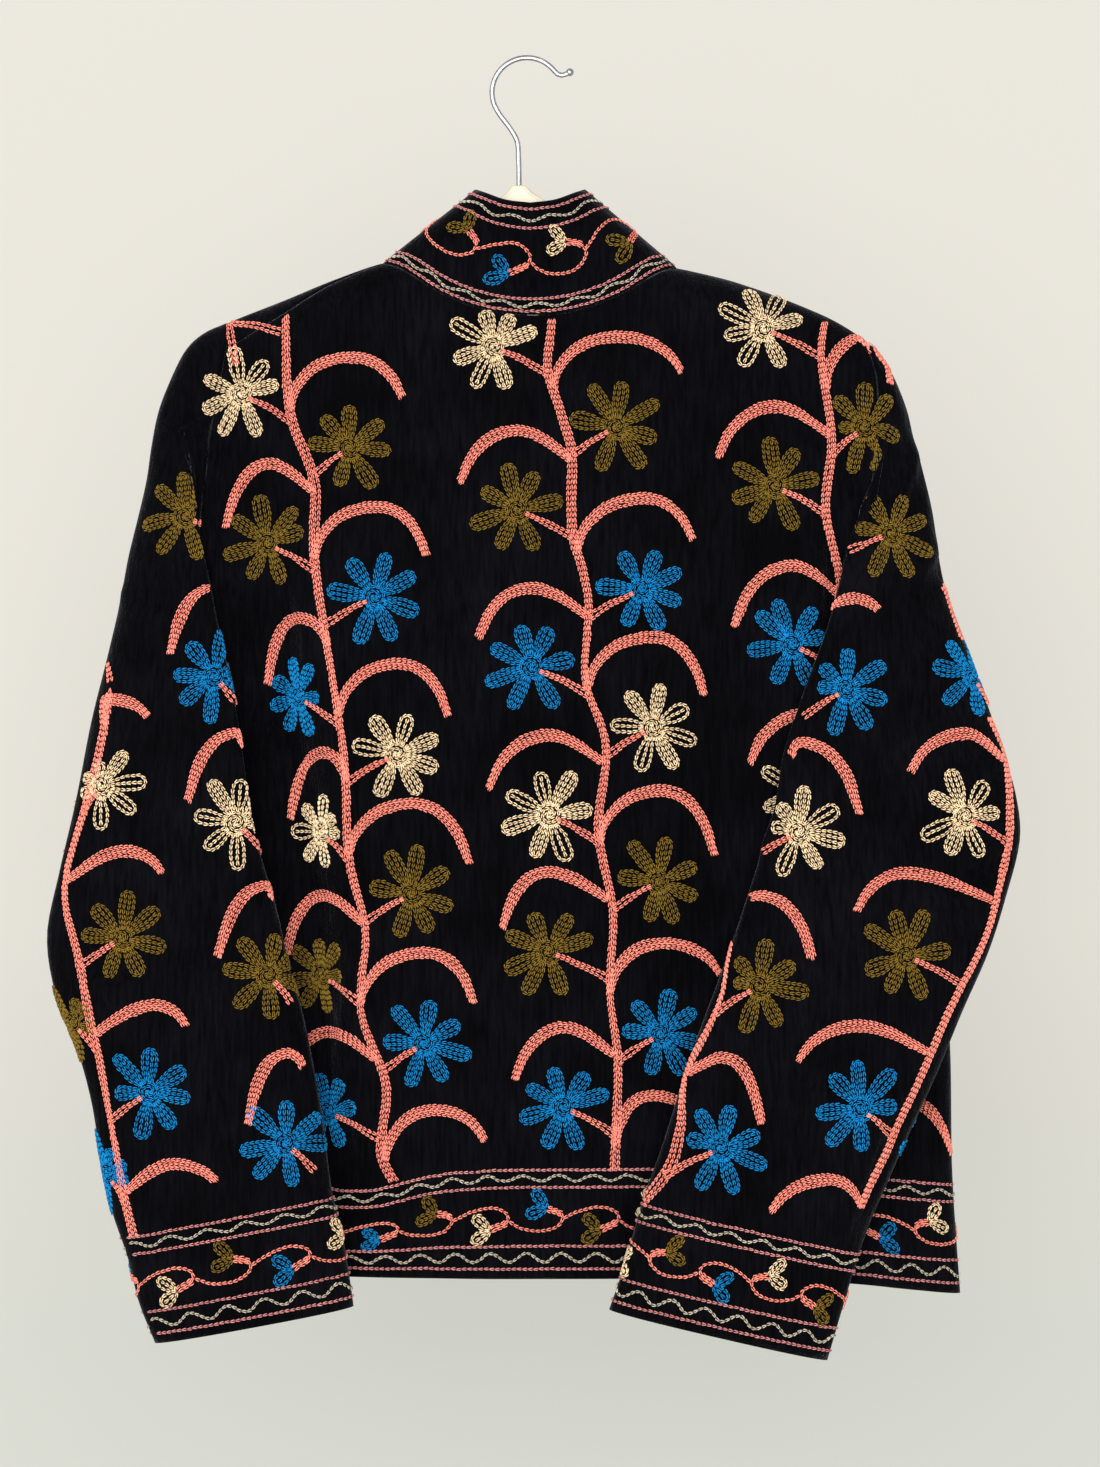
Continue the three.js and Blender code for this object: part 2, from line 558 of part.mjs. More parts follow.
// A closed wall: the grid, trimmed by half a seam gap at its open edges, and a copy of it one
// thickness inside.
function clothWall(grid, normals, wraps, startTrim = SEAM_GAP / 2) {
  const rows = grid.length;
  const columns = grid[0].length;
  const trim = (point, next, length) =>
    point.clone().add(next.clone().sub(point).setLength(length));
  const outer = grid.map((line, r) =>
    line.map((point, c) => {
      let placed = point;
      if (r === 0) placed = trim(placed, grid[1][c], startTrim);
      if (r === rows - 1) placed = trim(placed, grid[rows - 2][c], SEAM_GAP / 2);
      if (!wraps && c === 0) placed = trim(placed, line[1], SEAM_GAP / 2);
      if (!wraps && c === columns - 1) placed = trim(placed, line[columns - 2], SEAM_GAP / 2);
      return placed;
    }),
  );
  const inwards = (point, normal) => point.clone().addScaledVector(normal, -CLOTH);
  const inner = outer.map((line, r) => line.map((point, c) => inwards(point, normals[r][c])));
  const positions = [...outer, ...inner].flat().flatMap((point) => point.toArray());
  const at = (layer, r, c) => (layer * rows + r) * columns + (c % columns);
  const triangles = [];
  const quad = (a, b, c, d) => triangles.push(a, b, c, a, c, d);
  const lastColumn = wraps ? columns : columns - 1;
  for (let r = 0; r < rows - 1; r++) {
    for (let c = 0; c < lastColumn; c++) {
      quad(at(0, r, c), at(0, r, c + 1), at(0, r + 1, c + 1), at(0, r + 1, c));
      quad(at(1, r, c), at(1, r + 1, c), at(1, r + 1, c + 1), at(1, r, c + 1));
    }
  }
  for (let c = 0; c < lastColumn; c++) {
    quad(at(0, 0, c), at(1, 0, c), at(1, 0, c + 1), at(0, 0, c + 1));
    const end = rows - 1;
    quad(at(0, end, c), at(0, end, c + 1), at(1, end, c + 1), at(1, end, c));
  }
  if (!wraps) {
    for (let r = 0; r < rows - 1; r++) {
      quad(at(0, r, 0), at(0, r + 1, 0), at(1, r + 1, 0), at(1, r, 0));
      const end = columns - 1;
      quad(at(0, r, end), at(1, r, end), at(1, r + 1, end), at(0, r + 1, end));
    }
  }
  const geometry = new THREE.BufferGeometry();
  geometry.setAttribute('position', new THREE.Float32BufferAttribute(positions, 3));
  geometry.setIndex(triangles);
  return faceOutwards(geometry);
}

// Turns a closed geometry's faces round if they point inwards.
function faceOutwards(geometry) {
  const position = geometry.getAttribute('position');
  const index = geometry.getIndex().array;
  const [a, b, c] = [new THREE.Vector3(), new THREE.Vector3(), new THREE.Vector3()];
  let volume = 0;
  for (let i = 0; i < index.length; i += 3) {
    a.fromBufferAttribute(position, index[i]);
    b.fromBufferAttribute(position, index[i + 1]);
    c.fromBufferAttribute(position, index[i + 2]);
    volume += a.dot(b.cross(c));
  }
  if (volume < 0) {
    for (let i = 0; i < index.length; i += 3) {
      [index[i + 1], index[i + 2]] = [index[i + 2], index[i + 1]];
    }
  }
  geometry.computeVertexNormals();
  return geometry;
}

// Panels are kept as columns from the hem up: a step along a line goes up, and the next line
// is to +X.
const backNormals = normalsOf(backGrid, false, -1);
const leftFrontNormals = normalsOf(leftFrontGrid, false, 1);
const rightFrontNormals = normalsOf(rightFrontGrid, false, 1);
const leftSleeveNormals = normalsOf(leftSleeveGrid, true, -1);
const rightSleeveNormals = normalsOf(rightSleeveGrid, true, 1);
const collarNormals = normalsOf(collarPoints, false, 1);

const top = LOWER_ROWS + UPPER_ROWS;

// The side seam below the underarm, the shoulder seam, and the armhole between them.
function joinSide(back, front, sleeve) {
  for (let row = 0; row < LOWER_ROWS; row++) shareNormals(back[0][row], front[0][row]);
  for (let i = 1; i <= cornerAt; i++) shareNormals(back[i][top], front[i][top]);
  shareNormals(back[0][LOWER_ROWS], front[0][LOWER_ROWS], sleeve[0][UPPER_ROWS]);
  shareNormals(back[0][top], front[0][top], sleeve[0][0]);
  for (let i = 1; i < UPPER_ROWS; i++) {
    shareNormals(back[0][top - i], sleeve[0][i]);
    shareNormals(front[0][LOWER_ROWS + i], sleeve[0][UPPER_ROWS + i]);
  }
}
joinSide(backNormals, leftFrontNormals, leftSleeveNormals);
joinSide([...backNormals].reverse(), [...rightFrontNormals].reverse(), rightSleeveNormals);

// ---- Hanger -----------------------------------------------------------------------------------

// The wooden arms: one outline across the shoulders, extruded and bevelled, with a hole for the
// stem.
function hangerArms() {
  const under = 6; // from the cloth's outer face at the crest down to the wood
  const reachLeft = -180;
  const reachRight = 200;
  const neck = [
    { x: -91, z: -129 - under },
    { x: -80, z: -138 },
    { x: -68, z: -134 },
    { x: -50, z: -119 },
    { x: -33, z: -102 },
    { x: -22, z: -90 },
    { x: -13, z: -84 },
    { x: -9, z: -79 },
    { x: -1, z: -79 },
    { x: 4, z: -84 },
    { x: 14, z: -90 },
    { x: 30, z: -102 },
    { x: 50, z: -120 },
    { x: 70, z: -135 },
    { x: 84, z: -143 },
    { x: 96, z: -133 - under },
  ];
  const isArm = (x) => x < neck[0].x || x > neck.at(-1).x;
  const topZ = (x) => (isArm(x) ? crestZ(x) - under : read(neck, 'x', x, 'z'));
  const armHeight = (x) => mix(26, 13, smooth(Math.abs(x - STEM_X) / 190));
  const stations = [
    ...even(reachLeft, -91, 6),
    ...even(-76, -22, 5),
    -13,
    -9,
    -1,
    4,
    ...even(14, 80, 6),
    ...even(96, reachRight, 7),
  ];
  const outline = new THREE.Shape();
  stations.forEach((x, i) => (i ? outline.lineTo(x, topZ(x)) : outline.moveTo(x, topZ(x))));
  for (const x of [...stations].reverse()) {
    const saddle = Math.min(topZ(x), -89 - 0.47 * Math.abs(x - STEM_X));
    outline.lineTo(x, saddle - armHeight(x));
  }
  const solid = new THREE.ExtrudeGeometry(outline, {
    depth: HANGER_THICKNESS - 2 * HANGER_BEVEL,
    bevelThickness: HANGER_BEVEL,
    bevelSize: HANGER_BEVEL,
    bevelOffset: -HANGER_BEVEL,
    bevelSegments: 2,
  });
  solid.rotateX(Math.PI / 2);
  solid.translate(0, HANGER_THICKNESS / 2 - HANGER_BEVEL, 0);
  const socket = new THREE.CylinderGeometry(WIRE / 2 + 0.3, WIRE / 2 + 0.3, 24, 12);
  socket.rotateX(Math.PI / 2);
  socket.translate(STEM_X, 0, STEM_FOOT_Z - 0.4 + 12);
  return fromManifold(toManifold(solid).subtract(toManifold(socket)));
}

// The wire: a straight stem, a slant to the left, most of a circle, and a short flared tip with
// a bead.
function hangerHook() {
  const middle = new THREE.Vector3(0, 0, WIRE / 2 - HOOK_RADIUS);
  const onBend = (degrees) => {
    const turn = THREE.MathUtils.degToRad(degrees);
    const out = new THREE.Vector3(Math.cos(turn), 0, Math.sin(turn));
    return out.multiplyScalar(HOOK_RADIUS).add(middle);
  };
  const tip = new THREE.Vector3(27, 0, -7.5);
  const route = [
    new THREE.Vector3(STEM_X, 0, STEM_FOOT_Z),
    new THREE.Vector3(STEM_X, 0, -76),
    new THREE.Vector3(STEM_X - 0.3, 0, -62),
    new THREE.Vector3(STEM_X - 1.2, 0, -51),
    new THREE.Vector3(STEM_X - 5, 0, -43.8),
    ...even(214, 44, 9).map(onBend),
    new THREE.Vector3(19.2, 0, -8.6),
    new THREE.Vector3(22.5, 0, -9.4),
    tip,
  ];
  const section = new THREE.Shape().absarc(0, 0, WIRE / 2, 0, 2 * Math.PI);
  const wire = new THREE.ExtrudeGeometry(section, {
    steps: 52,
    curveSegments: 8,
    extrudePath: new THREE.CatmullRomCurve3(route, false, 'centripetal'),
  });
  const bead = new THREE.SphereGeometry(HOOK_END_BEAD, 10, 8);
  bead.translate(tip.x, tip.y, tip.z);
  return fromManifold(toManifold(wire).add(toManifold(bead)));
}

function toManifold(geometry) {
  const bare = geometry.index ? geometry.toNonIndexed() : geometry;
  const source = bare.getAttribute('position');
  const seen = new Map();
  const vertices = [];
  const triangles = new Uint32Array(source.count);
  for (let i = 0; i < source.count; i++) {
    const point = [source.getX(i), source.getY(i), source.getZ(i)];
    const key = point.map((value) => Math.round(value * 1e4)).join();
    if (!seen.has(key)) {
      seen.set(key, vertices.length / 3);
      vertices.push(...point);
    }
    triangles[i] = seen.get(key);
  }
  const kept = [];
  for (let i = 0; i < triangles.length; i += 3) {
    const [a, b, c] = triangles.subarray(i, i + 3);
    if (a !== b && b !== c && a !== c) kept.push(a, b, c);
  }
  const vertProperties = new Float32Array(vertices);
  const triVerts = new Uint32Array(kept);
  return new wasm.Manifold(new wasm.Mesh({ numProp: 3, vertProperties, triVerts }));
}

function fromManifold(solid) {
  const mesh = solid.getMesh();
  const geometry = new THREE.BufferGeometry();
  geometry.setAttribute('position', new THREE.Float32BufferAttribute(mesh.vertProperties, 3));
  geometry.setIndex([...mesh.triVerts]);
  geometry.computeVertexNormals();
  return geometry;
}

// ---- The object -----------------------------------------------------------------------------------

const velvet = new THREE.MeshStandardMaterial({ color: 0x07070b, roughness: 0.9, metalness: 0 });
const wood = new THREE.MeshStandardMaterial({ color: 0xd9cdb4, roughness: 0.55, metalness: 0 });
const steel = new THREE.MeshStandardMaterial({ color: 0xc4c8c8, roughness: 0.2, metalness: 1 });

function node(name, geometry, material) {
  const mesh = new THREE.Mesh(geometry, material);
  mesh.name = name;
  return mesh;
}

const jacket = new THREE.Group();
jacket.add(
  node('back', clothWall(backGrid, backNormals, false), velvet),
  node('left_front', clothWall(leftFrontGrid, leftFrontNormals, false), velvet),
  node('right_front', clothWall(rightFrontGrid, rightFrontNormals, false), velvet),
  node('left_sleeve', clothWall(leftSleeveGrid, leftSleeveNormals, true, SLEEVE_SEAM_TRIM), velvet),
  node('right_sleeve', clothWall(rightSleeveGrid, rightSleeveNormals, true, SLEEVE_SEAM_TRIM), velvet),
  node('collar', clothWall(collarPoints, collarNormals, false, COLLAR_SEAM_TRIM), velvet),
  node('hanger_arms', hangerArms(), wood),
  node('hanger_hook', hangerHook(), steel),
);

export default jacket;
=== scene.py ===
"""The looks of an embroidered velvet jacket that hangs on a hanger, seen from its back.

Lengths are in millimetres until a mesh is made. x goes to the right, z goes up, and the
jacket's back looks along -y. A place on the embroidery is given as the (x, z) at which an eye
in front of that side sees it on the plane of the hanger.
"""

from math import atan2, ceil, cos, hypot, pi, sin

import bmesh
import bpy
import numpy as np
from mathutils import Matrix, Vector
from mathutils.bvhtree import BVHTree
from mathutils.interpolate import poly_3d_calc


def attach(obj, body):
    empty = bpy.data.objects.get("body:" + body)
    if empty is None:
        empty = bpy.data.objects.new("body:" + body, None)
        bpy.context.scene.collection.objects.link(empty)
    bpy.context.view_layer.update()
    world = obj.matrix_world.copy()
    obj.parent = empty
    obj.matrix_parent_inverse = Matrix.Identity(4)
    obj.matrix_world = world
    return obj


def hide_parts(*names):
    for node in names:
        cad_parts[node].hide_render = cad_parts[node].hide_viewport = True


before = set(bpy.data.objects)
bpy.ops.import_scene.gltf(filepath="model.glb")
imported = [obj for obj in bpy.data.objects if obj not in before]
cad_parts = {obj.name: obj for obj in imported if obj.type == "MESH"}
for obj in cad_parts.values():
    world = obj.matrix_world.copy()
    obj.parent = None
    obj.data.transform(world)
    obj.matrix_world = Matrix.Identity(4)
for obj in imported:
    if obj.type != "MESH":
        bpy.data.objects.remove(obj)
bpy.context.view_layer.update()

MM = 0.001
chance = np.random.default_rng(11)

# ---- How the cloth is cut and hangs ---------------------------------------------------------

CLOTH = 2.0
SLEEVE_CLOTH = 1.0
ARMPIT_Z = -410
CREST_ROUND = 24
ARMPIT_ROUND = 70
ARMPIT_BLEND = 45
ARMHOLE_FULLNESS = 0.72
SIDE_ROUND = 18
SIDE_SHARE = 0.45
ARMHOLE_REACH = 80
BELLY_REACH = 130
NECK_LEFT = -91
NECK_RIGHT = 96
NECK_MIDDLE = (NECK_LEFT + NECK_RIGHT) / 2
NECK_HALF = (NECK_RIGHT - NECK_LEFT) / 2
BACK_NECK_DROP = 56
FRONT_NECK_DROP = 104
FRONT_GAP_TOP = 5
FRONT_GAP_HEM = 20
FRONT_GAP_START_Z = -215
FRONT_GAP_RUN = 550
BACK_NECK_CURVE = 2.1
FRONT_NECK_CURVE = 1.7
SHOULDER_Z = -178  # where the shoulders' width is read
NECK_Z = -150  # where the neck's corners are placed
HEM_Z = -768.0  # where the hem's places across are read

# (height, x) down the two sides of the body, armholes above and side seams below.
LEFT_SIDE = [
    (-764, -196), (-700, -198), (-600, -205), (-500, -212), (-410, -214),
    (-340, -208), (-283, -203), (-230, -197), (-192, -190), (-165, -186),
]
RIGHT_SIDE = [
    (-776, 273), (-700, 268), (-610, 266), (-540, 257), (-470, 242), (-410, 228),
    (-360, 214), (-315, 210), (-279, 213), (-246, 218), (-205, 219), (-178, 213),
]
# (x, height) along the top of the cloth, and along the hem.
CREST = [
    (-203, -172), (-185, -164), (-152, -151), (-123, -139), (-91, -128), (-45, -119),
    (2, -116), (50, -120), (96, -131), (135, -141), (185, -160), (208, -173), (224, -187),
]
HEM = [(-196, -762), (-110, -763), (22, -764), (140, -764), (205, -768), (273, -776)]
# (x, distance over the crest) of the shoulder seams: + is down the back.
SHOULDER_SEAM = [(-190, 30), (-150, 19), (-120, 9), (-91, 4), (96, 2), (150, -3), (213, -6)]
# (height, distance from the hanger's plane) of each layer.
DEPTH = {
    "back": [(-776, 27), (-600, 31), (-410, 32), (-300, 27), (-200, 21), (-130, 18)],
    "front": [(-776, 22), (-600, 22), (-410, 21), (-300, 18), (-200, 17), (-130, 16)],
}
# The largest folds: (high x, high z, low x, low z, rise, spread).
FOLDS = {
    "back": [
        (-172, -262, -118, -700, -11, 17), (-140, -240, -92, -720, 6, 17),
        (190, -215, 168, -440, 5, 15), (206, -240, 190, -360, -5, 10),
        (-40, -300, -25, -766, 4, 30), (105, -330, 128, -770, -5, 26),
        (214, -560, 236, -776, 5, 20),
    ],
    "front": [
        (-120, -200, -140, -700, 4, 22), (-66, -330, -84, -764, -5, 22),
        (120, -210, 170, -740, 4, 24), (74, -340, 108, -768, -5, 22),
    ],
}
FOLD_TAPER = 0.22
FOLD_END = 1.12
# A sag above the hem: its middle, depth and reach, and the height over which it begins.
SAG_X, SAG_Z, SAG_DROP, SAG_ACROSS, SAG_ALONG = -112, -708, 15, 48, 62
SAG_FOOT, SAG_RISE = -766, 40

# (way round, x, y, z) of the collar's top edge: 0 is the middle of the back, 1 a front edge.
COLLAR_TOP = [
    (0, 0, -23, -92.5), (0.2, 16, -20, -90), (0.36, 30, -11, -84), (0.47, 35.5, 1, -82),
    (0.62, 34, 14, -93), (0.82, 21, 23, -120), (1, 4, 26, -150),
]
COLLAR_MIDDLE = 2
COLLAR_BULGE = 3.5
COLLAR_BULGE_REACH = 8

# Rings from armhole to cuff: outer x, z, underarm x, z, outer y, underarm y,
# depth to the near side and to the far side, roll of the near side, roll of the far side.
LEFT_RINGS = [
    (-186, -165, -214, -410, 0, 0, 20, 15, 0, 0),
    (-203, -172, -219, -406, 0, -1, 23.5, 16, 2, 0),
    (-215, -183, -224, -411, 0, -4, 24, 17, 11, 0),
    (-225, -203, -227, -418, -1, -8, 24, 18, 27, 0),
    (-232, -222, -229, -428, -2, -13, 23, 19, 36, 0),
    (-236, -243, -226, -435, -4, -18, 24, 19, 41, -4),
    (-239, -265, -220, -443, -6, -23, 26, 19, 42, -9),
    (-244, -288, -211, -452, -8, -28, 27, 19, 40, -13),
    (-250, -314, -199, -461, -11, -32, 26, 18, 34, -16),
    (-255, -343, -187, -471, -14, -35, 25, 17, 26, -17),
    (-263, -379, -177, -483, -18, -37, 23.5, 16, 18, -14),
    (-272, -417, -167, -498, -22, -39, 22, 15, 10, -8),
    (-281, -466, -159, -518, -27, -41, 21, 15, 4, -3),
    (-291, -511, -153, -540, -31, -43, 20, 14, 0, 0),
    (-298, -550, -147, -568, -35, -44, 20, 14, 0, 0),
    (-292, -587, -139, -595, -38, -45, 19, 14, 0, 0),
    (-279, -619, -133, -623, -40, -46, 18, 14, 0, 0),
    (-270, -651, -128, -651, -41, -46, 18, 14, 0, 0),
    (-264, -686, -124, -680, -42, -46, 18, 14, 0, 0),
    (-257, -719, -120, -709, -43, -46, 18, 14, 0, 0),
    (-247, -748, -114, -734, -44, -46, 18, 14, 0, 0),
    (-240, -776, -110, -757, -44, -46, 17, 13, 0, 0),
    (-230, -801, -107, -778, -44, -46, 17, 13, 0, 0),
]
RIGHT_RINGS = [
    (213, -178, 228, -410, 0, 0, 20, 15, 0, 0),
    (222, -186, 236, -406, 0, -1, 24, 16, -8, 0),
    (231, -200, 242, -411, 0, -3, 25, 17, -24, 0),
    (239, -220, 245, -418, -1, -6, 25, 18, -48, 0),
    (243, -237, 246, -428, -2, -10, 24, 19, -57, 0),
    (249, -259, 243, -436, -4, -15, 25, 19, -64, 8),
    (255, -286, 234, -444, -6, -21, 28, 19, -68, 15),
    (259, -316, 221, -453, -9, -27, 29, 19, -66, 22),
    (265, -343, 205, -461, -12, -32, 27.5, 18, -60, 26),
    (276, -373, 186, -469, -15, -36, 25.5, 17, -48, 26),
    (288, -406, 166, -479, -19, -40, 23.5, 16, -32, 20),
    (297, -434, 151, -492, -23, -43, 22, 15, -20, 11),
    (305, -463, 143, -507, -27, -46, 21, 15, -10, 4),
    (307, -490, 136, -526, -30, -48, 20, 15, -3, 0),
    (299, -522, 128, -550, -33, -50, 19.5, 15, 0, 0),
    (287, -559, 117, -580, -36, -52, 21, 15, 0, 0),
    (270, -597, 105, -612, -39, -54, 20, 15, 0, 0),
    (254, -635, 94, -645, -42, -55, 20, 15, 0, 0),
    (238, -669, 84, -677, -44, -55, 20, 15, 0, 0),
    (224, -700, 74, -705, -46, -55, 19, 15, 0, 0),
    (211, -730, 66, -731, -47, -55, 19, 14, 0, 0),
    (201, -760, 59, -756, -48, -54, 18, 13, 0, 0),
    (186, -811, 51, -779, -48, -54, 17, 13, 0, 0),
]
ARMHOLE_FADE_RINGS = 5
SLEEVE_SQUARENESS = 2.4
ROLL_SKEW = 1.5
ROLL_BREADTH = 1.2
OVERLAY_GAP = 2
OVERLAY_REACH = 6
UNDERARM_ROOM = 6
UNDERARM_START = 10
UNDERARM_RUN = 40
OUTSIDE_EASE = 2.5

# How finely the cloth is drawn.
LOWER_ROWS = 66
UPPER_ROWS = 64
ROW_CROWDING = 0.4
ROLL_COLUMNS = 8
SHOULDER_COLUMNS = 18
NECK_COLUMNS = 40
SLEEVE_ROWS = 104
COLLAR_ROWS = 18


def clamp(value):
    return np.clip(value, 0, 1)


def smooth(share):
    return clamp(share) ** 2 * (3 - 2 * clamp(share))


def quarter_round(share):
    return np.sqrt(1 - (1 - clamp(share)) ** 2)


def mix(a, b, share):
    return a + (b - a) * share


def curve(table, at, column=1):
    """Reads a column of a table along a smooth curve; the table's first column is where."""
    rows = np.array(sorted(map(tuple, table)), float)
    where, value = rows[:, 0], rows[:, column]
    slope = np.gradient(value, where)
    slope[1:-1] = (value[2:] - value[:-2]) / (where[2:] - where[:-2])
    at = np.clip(at, where[0], where[-1])
    i = np.clip(np.searchsorted(where, at) - 1, 0, len(where) - 2)
    span = where[i + 1] - where[i]
    t = (at - where[i]) / span
    ends = value[i] * (1 + 2 * t) * (1 - t) ** 2 + value[i + 1] * t * t * (3 - 2 * t)
    return ends + span * t * (1 - t) * (slope[i] * (1 - t) - slope[i + 1] * t)


def fold_rise(folds, x, z):
    rise = 0
    for high_x, high_z, low_x, low_z, height, spread in folds:
        along = (high_z - z) / (high_z - low_z)
        middle = mix(high_x, low_x, clamp(along))
        ends = smooth(along / FOLD_TAPER) * smooth((FOLD_END - along) / FOLD_TAPER)
        rise = rise + height * ends * np.exp(-(((x - middle) / spread) ** 2))
    return rise


def body_depth(side, x, z):
    """How far the back or the front layer stands from the plane of the hanger."""
    full = curve(DEPTH[side], z)
    crest = quarter_round((curve(CREST, x) - z) / CREST_ROUND)
    inward = np.maximum(0, np.minimum(x - curve(LEFT_SIDE, z), curve(RIGHT_SIDE, z) - x))
    opened_edge = quarter_round((z - ARMPIT_Z) / ARMPIT_ROUND)
    opened_inside = smooth((z - ARMPIT_Z + ARMPIT_ROUND) / (2 * ARMPIT_ROUND))
    opened = mix(opened_edge, opened_inside, smooth(inward / ARMPIT_BLEND))
    edge = full * ARMHOLE_FULLNESS * crest * opened
    above = smooth((z - ARMPIT_Z) / ARMPIT_ROUND)
    roll = mix(quarter_round(inward / SIDE_ROUND), smooth(inward / ARMHOLE_REACH), above)
    across = SIDE_SHARE * roll + (1 - SIDE_SHARE) * smooth(inward / BELLY_REACH)
    folds = fold_rise(FOLDS[side], x, z) * smooth(inward / SIDE_ROUND)
    return edge + (full * crest - edge) * across + folds


def hem_sag(x, z):
    near = np.exp(-(((x - SAG_X) / SAG_ACROSS) ** 2) - ((z - SAG_Z) / SAG_ALONG) ** 2)
    return SAG_DROP * near * smooth((z - SAG_FOOT) / SAG_RISE)


def roll_length(depth):
    return pi / 2 * np.sqrt((CREST_ROUND**2 + depth**2) / 2)


def over_crest(x, over):
    """The y and z of the cloth a given distance over the crest: + down the back."""
    top = curve(CREST, x)
    behind = over >= 0
    below = top - CREST_ROUND
    depth = np.where(behind, curve(DEPTH["back"], below), curve(DEPTH["front"], below))
    way = np.abs(over)
    turn = np.minimum(way / roll_length(depth), 1) * pi / 2
    z = top - CREST_ROUND * (1 - np.cos(turn)) - np.maximum(0, way - roll_length(depth))
    return np.where(behind, -body_depth("back", x, z), body_depth("front", x, z)), z


def top_over(side, x):
    """Where the top of a panel ends, as a distance over the crest."""
    out = clamp(np.abs(x - NECK_MIDDLE) / NECK_HALF)
    corner = curve(SHOULDER_SEAM, np.where(x < NECK_MIDDLE, NECK_LEFT, NECK_RIGHT))
    if side == "back":
        neck = mix(BACK_NECK_DROP, corner, out**BACK_NECK_CURVE)
    else:
        neck = mix(-FRONT_NECK_DROP, corner, out**FRONT_NECK_CURVE)
    return np.where(out >= 1, curve(SHOULDER_SEAM, x), neck)


def body_panel(side, place):
    """Rows of points from the hem up; place(z) gives each column's share of the width."""

    def across(z):
        return mix(curve(LEFT_SIDE, z), curve(RIGHT_SIDE, z), place(z))

    hem = curve(HEM, across(HEM_Z))
    level = mix(hem, ARMPIT_Z, np.arange(LOWER_ROWS)[:, None] / LOWER_ROWS)
    x = across(level)
    z = level
    if side == "back":
        z = level - hem_sag(x, level)
    sign = -1 if side == "back" else 1
    lower = np.stack([x, sign * body_depth(side, x, z), z], -1)
    top = np.full_like(hem, NECK_Z)
    for _ in range(12):
        x = across(top)
        top = over_crest(x, top_over(side, x))[1]
    depth = curve(DEPTH[side], curve(CREST, across(ARMPIT_Z)) - CREST_ROUND)
    low = -sign * (roll_length(depth) + curve(CREST, across(ARMPIT_Z)) - CREST_ROUND - ARMPIT_Z)
    row = np.arange(UPPER_ROWS + 1)[:, None] / UPPER_ROWS
    rise = row - ROW_CROWDING * np.sin(2 * pi * row) / (2 * pi)
    over = mix(low, top_over(side, x), rise)
    z = top + 0 * over
    for _ in range(9):
        x = across(z)
        y, z = over_crest(x, over)
    return np.concatenate([lower, np.stack([x, y, z], -1)])


TOP_WIDTH = curve(RIGHT_SIDE, SHOULDER_Z) - curve(LEFT_SIDE, SHOULDER_Z)
NECK_LEFT_SHARE = (NECK_LEFT - curve(LEFT_SIDE, NECK_Z)) / TOP_WIDTH
NECK_RIGHT_SHARE = (NECK_RIGHT - curve(LEFT_SIDE, NECK_Z)) / TOP_WIDTH
ROLL_SHARE = 0.048
roll_shares = ROLL_SHARE * (np.arange(ROLL_COLUMNS) / ROLL_COLUMNS) ** 2
left_shares = np.concatenate(
    [roll_shares, np.linspace(ROLL_SHARE, NECK_LEFT_SHARE, SHOULDER_COLUMNS + 1)]
)
right_shares = np.concatenate(
    [np.linspace(NECK_RIGHT_SHARE, 1 - ROLL_SHARE, SHOULDER_COLUMNS + 1), 1 - roll_shares[::-1]]
)
neck_shares = np.linspace(NECK_LEFT_SHARE, NECK_RIGHT_SHARE, NECK_COLUMNS + 1)
back_shares = np.concatenate([left_shares, neck_shares[1:-1], right_shares])
CORNER = len(left_shares) - 1


def front_panel(shares, corner, sign):
    """A front: its shares beyond the neck corner stretch to the open front edge."""

    def place(z):
        gap = mix(FRONT_GAP_TOP, FRONT_GAP_HEM, clamp((FRONT_GAP_START_Z - z) / FRONT_GAP_RUN))
        edge = 0.5 + sign * gap / 2 / (curve(RIGHT_SIDE, z) - curve(LEFT_SIDE, z))
        beyond = np.clip((shares - corner) / (0.5 - corner), 0, 1)
        return np.where(beyond > 0, mix(corner, edge, beyond), shares)

    return body_panel("front", place)


half_neck = NECK_COLUMNS // 2
left_neck = np.linspace(NECK_LEFT_SHARE, 0.5, half_neck + 1)[1:]
right_neck = np.linspace(0.5, NECK_RIGHT_SHARE, half_neck + 1)[:-1]
back = body_panel("back", lambda z: back_shares + 0 * np.atleast_1d(z))
left_front = front_panel(np.concatenate([left_shares, left_neck]), NECK_LEFT_SHARE, -1)
right_front = front_panel(np.concatenate([right_neck, right_shares]), NECK_RIGHT_SHARE, 1)


def armhole(back_column, front_column):
    return np.concatenate([back_column[LOWER_ROWS:][::-1], front_column[LOWER_ROWS + 1 : -1]])


def turns_of(hole):
    """Each armhole point's turn: 0 at the crest, pi at the underarm, then up the front."""
    steps = np.linalg.norm(np.roll(hole, -1, 0) - hole, axis=1)
    along = np.concatenate([[0], np.cumsum(steps)])
    whole = along[-1]
    from_crest = (along[:-1] - along[np.argmax(hole[:, 2])]) % whole
    under = from_crest[UPPER_ROWS]
    up = 1 + (from_crest - under) / (whole - under)
    return pi * np.where(from_crest <= under, from_crest / under, up)


def ring_points(ring, turn):
    out_x, out_z, in_x, in_z, out_y, in_y, near_depth, far_depth, roll, away = ring
    squash = 2 / SLEEVE_SQUARENESS
    across = np.sign(np.cos(turn)) * np.abs(np.cos(turn)) ** squash
    deep = np.sign(np.sin(turn)) * np.abs(np.sin(turn)) ** squash
    share = (1 + across) / 2
    near = turn < pi
    way = np.where(near, turn / pi, 2 - turn / pi)
    bow = np.maximum(0, np.sin(pi * way**ROLL_SKEW)) ** ROLL_BREADTH
    x = mix(in_x, out_x, share) + np.where(near, roll, away) * bow
    y = mix(in_y, out_y, share) - np.where(near, near_depth, far_depth) * deep
    return np.stack([x, y, mix(in_z, out_z, share)], -1)


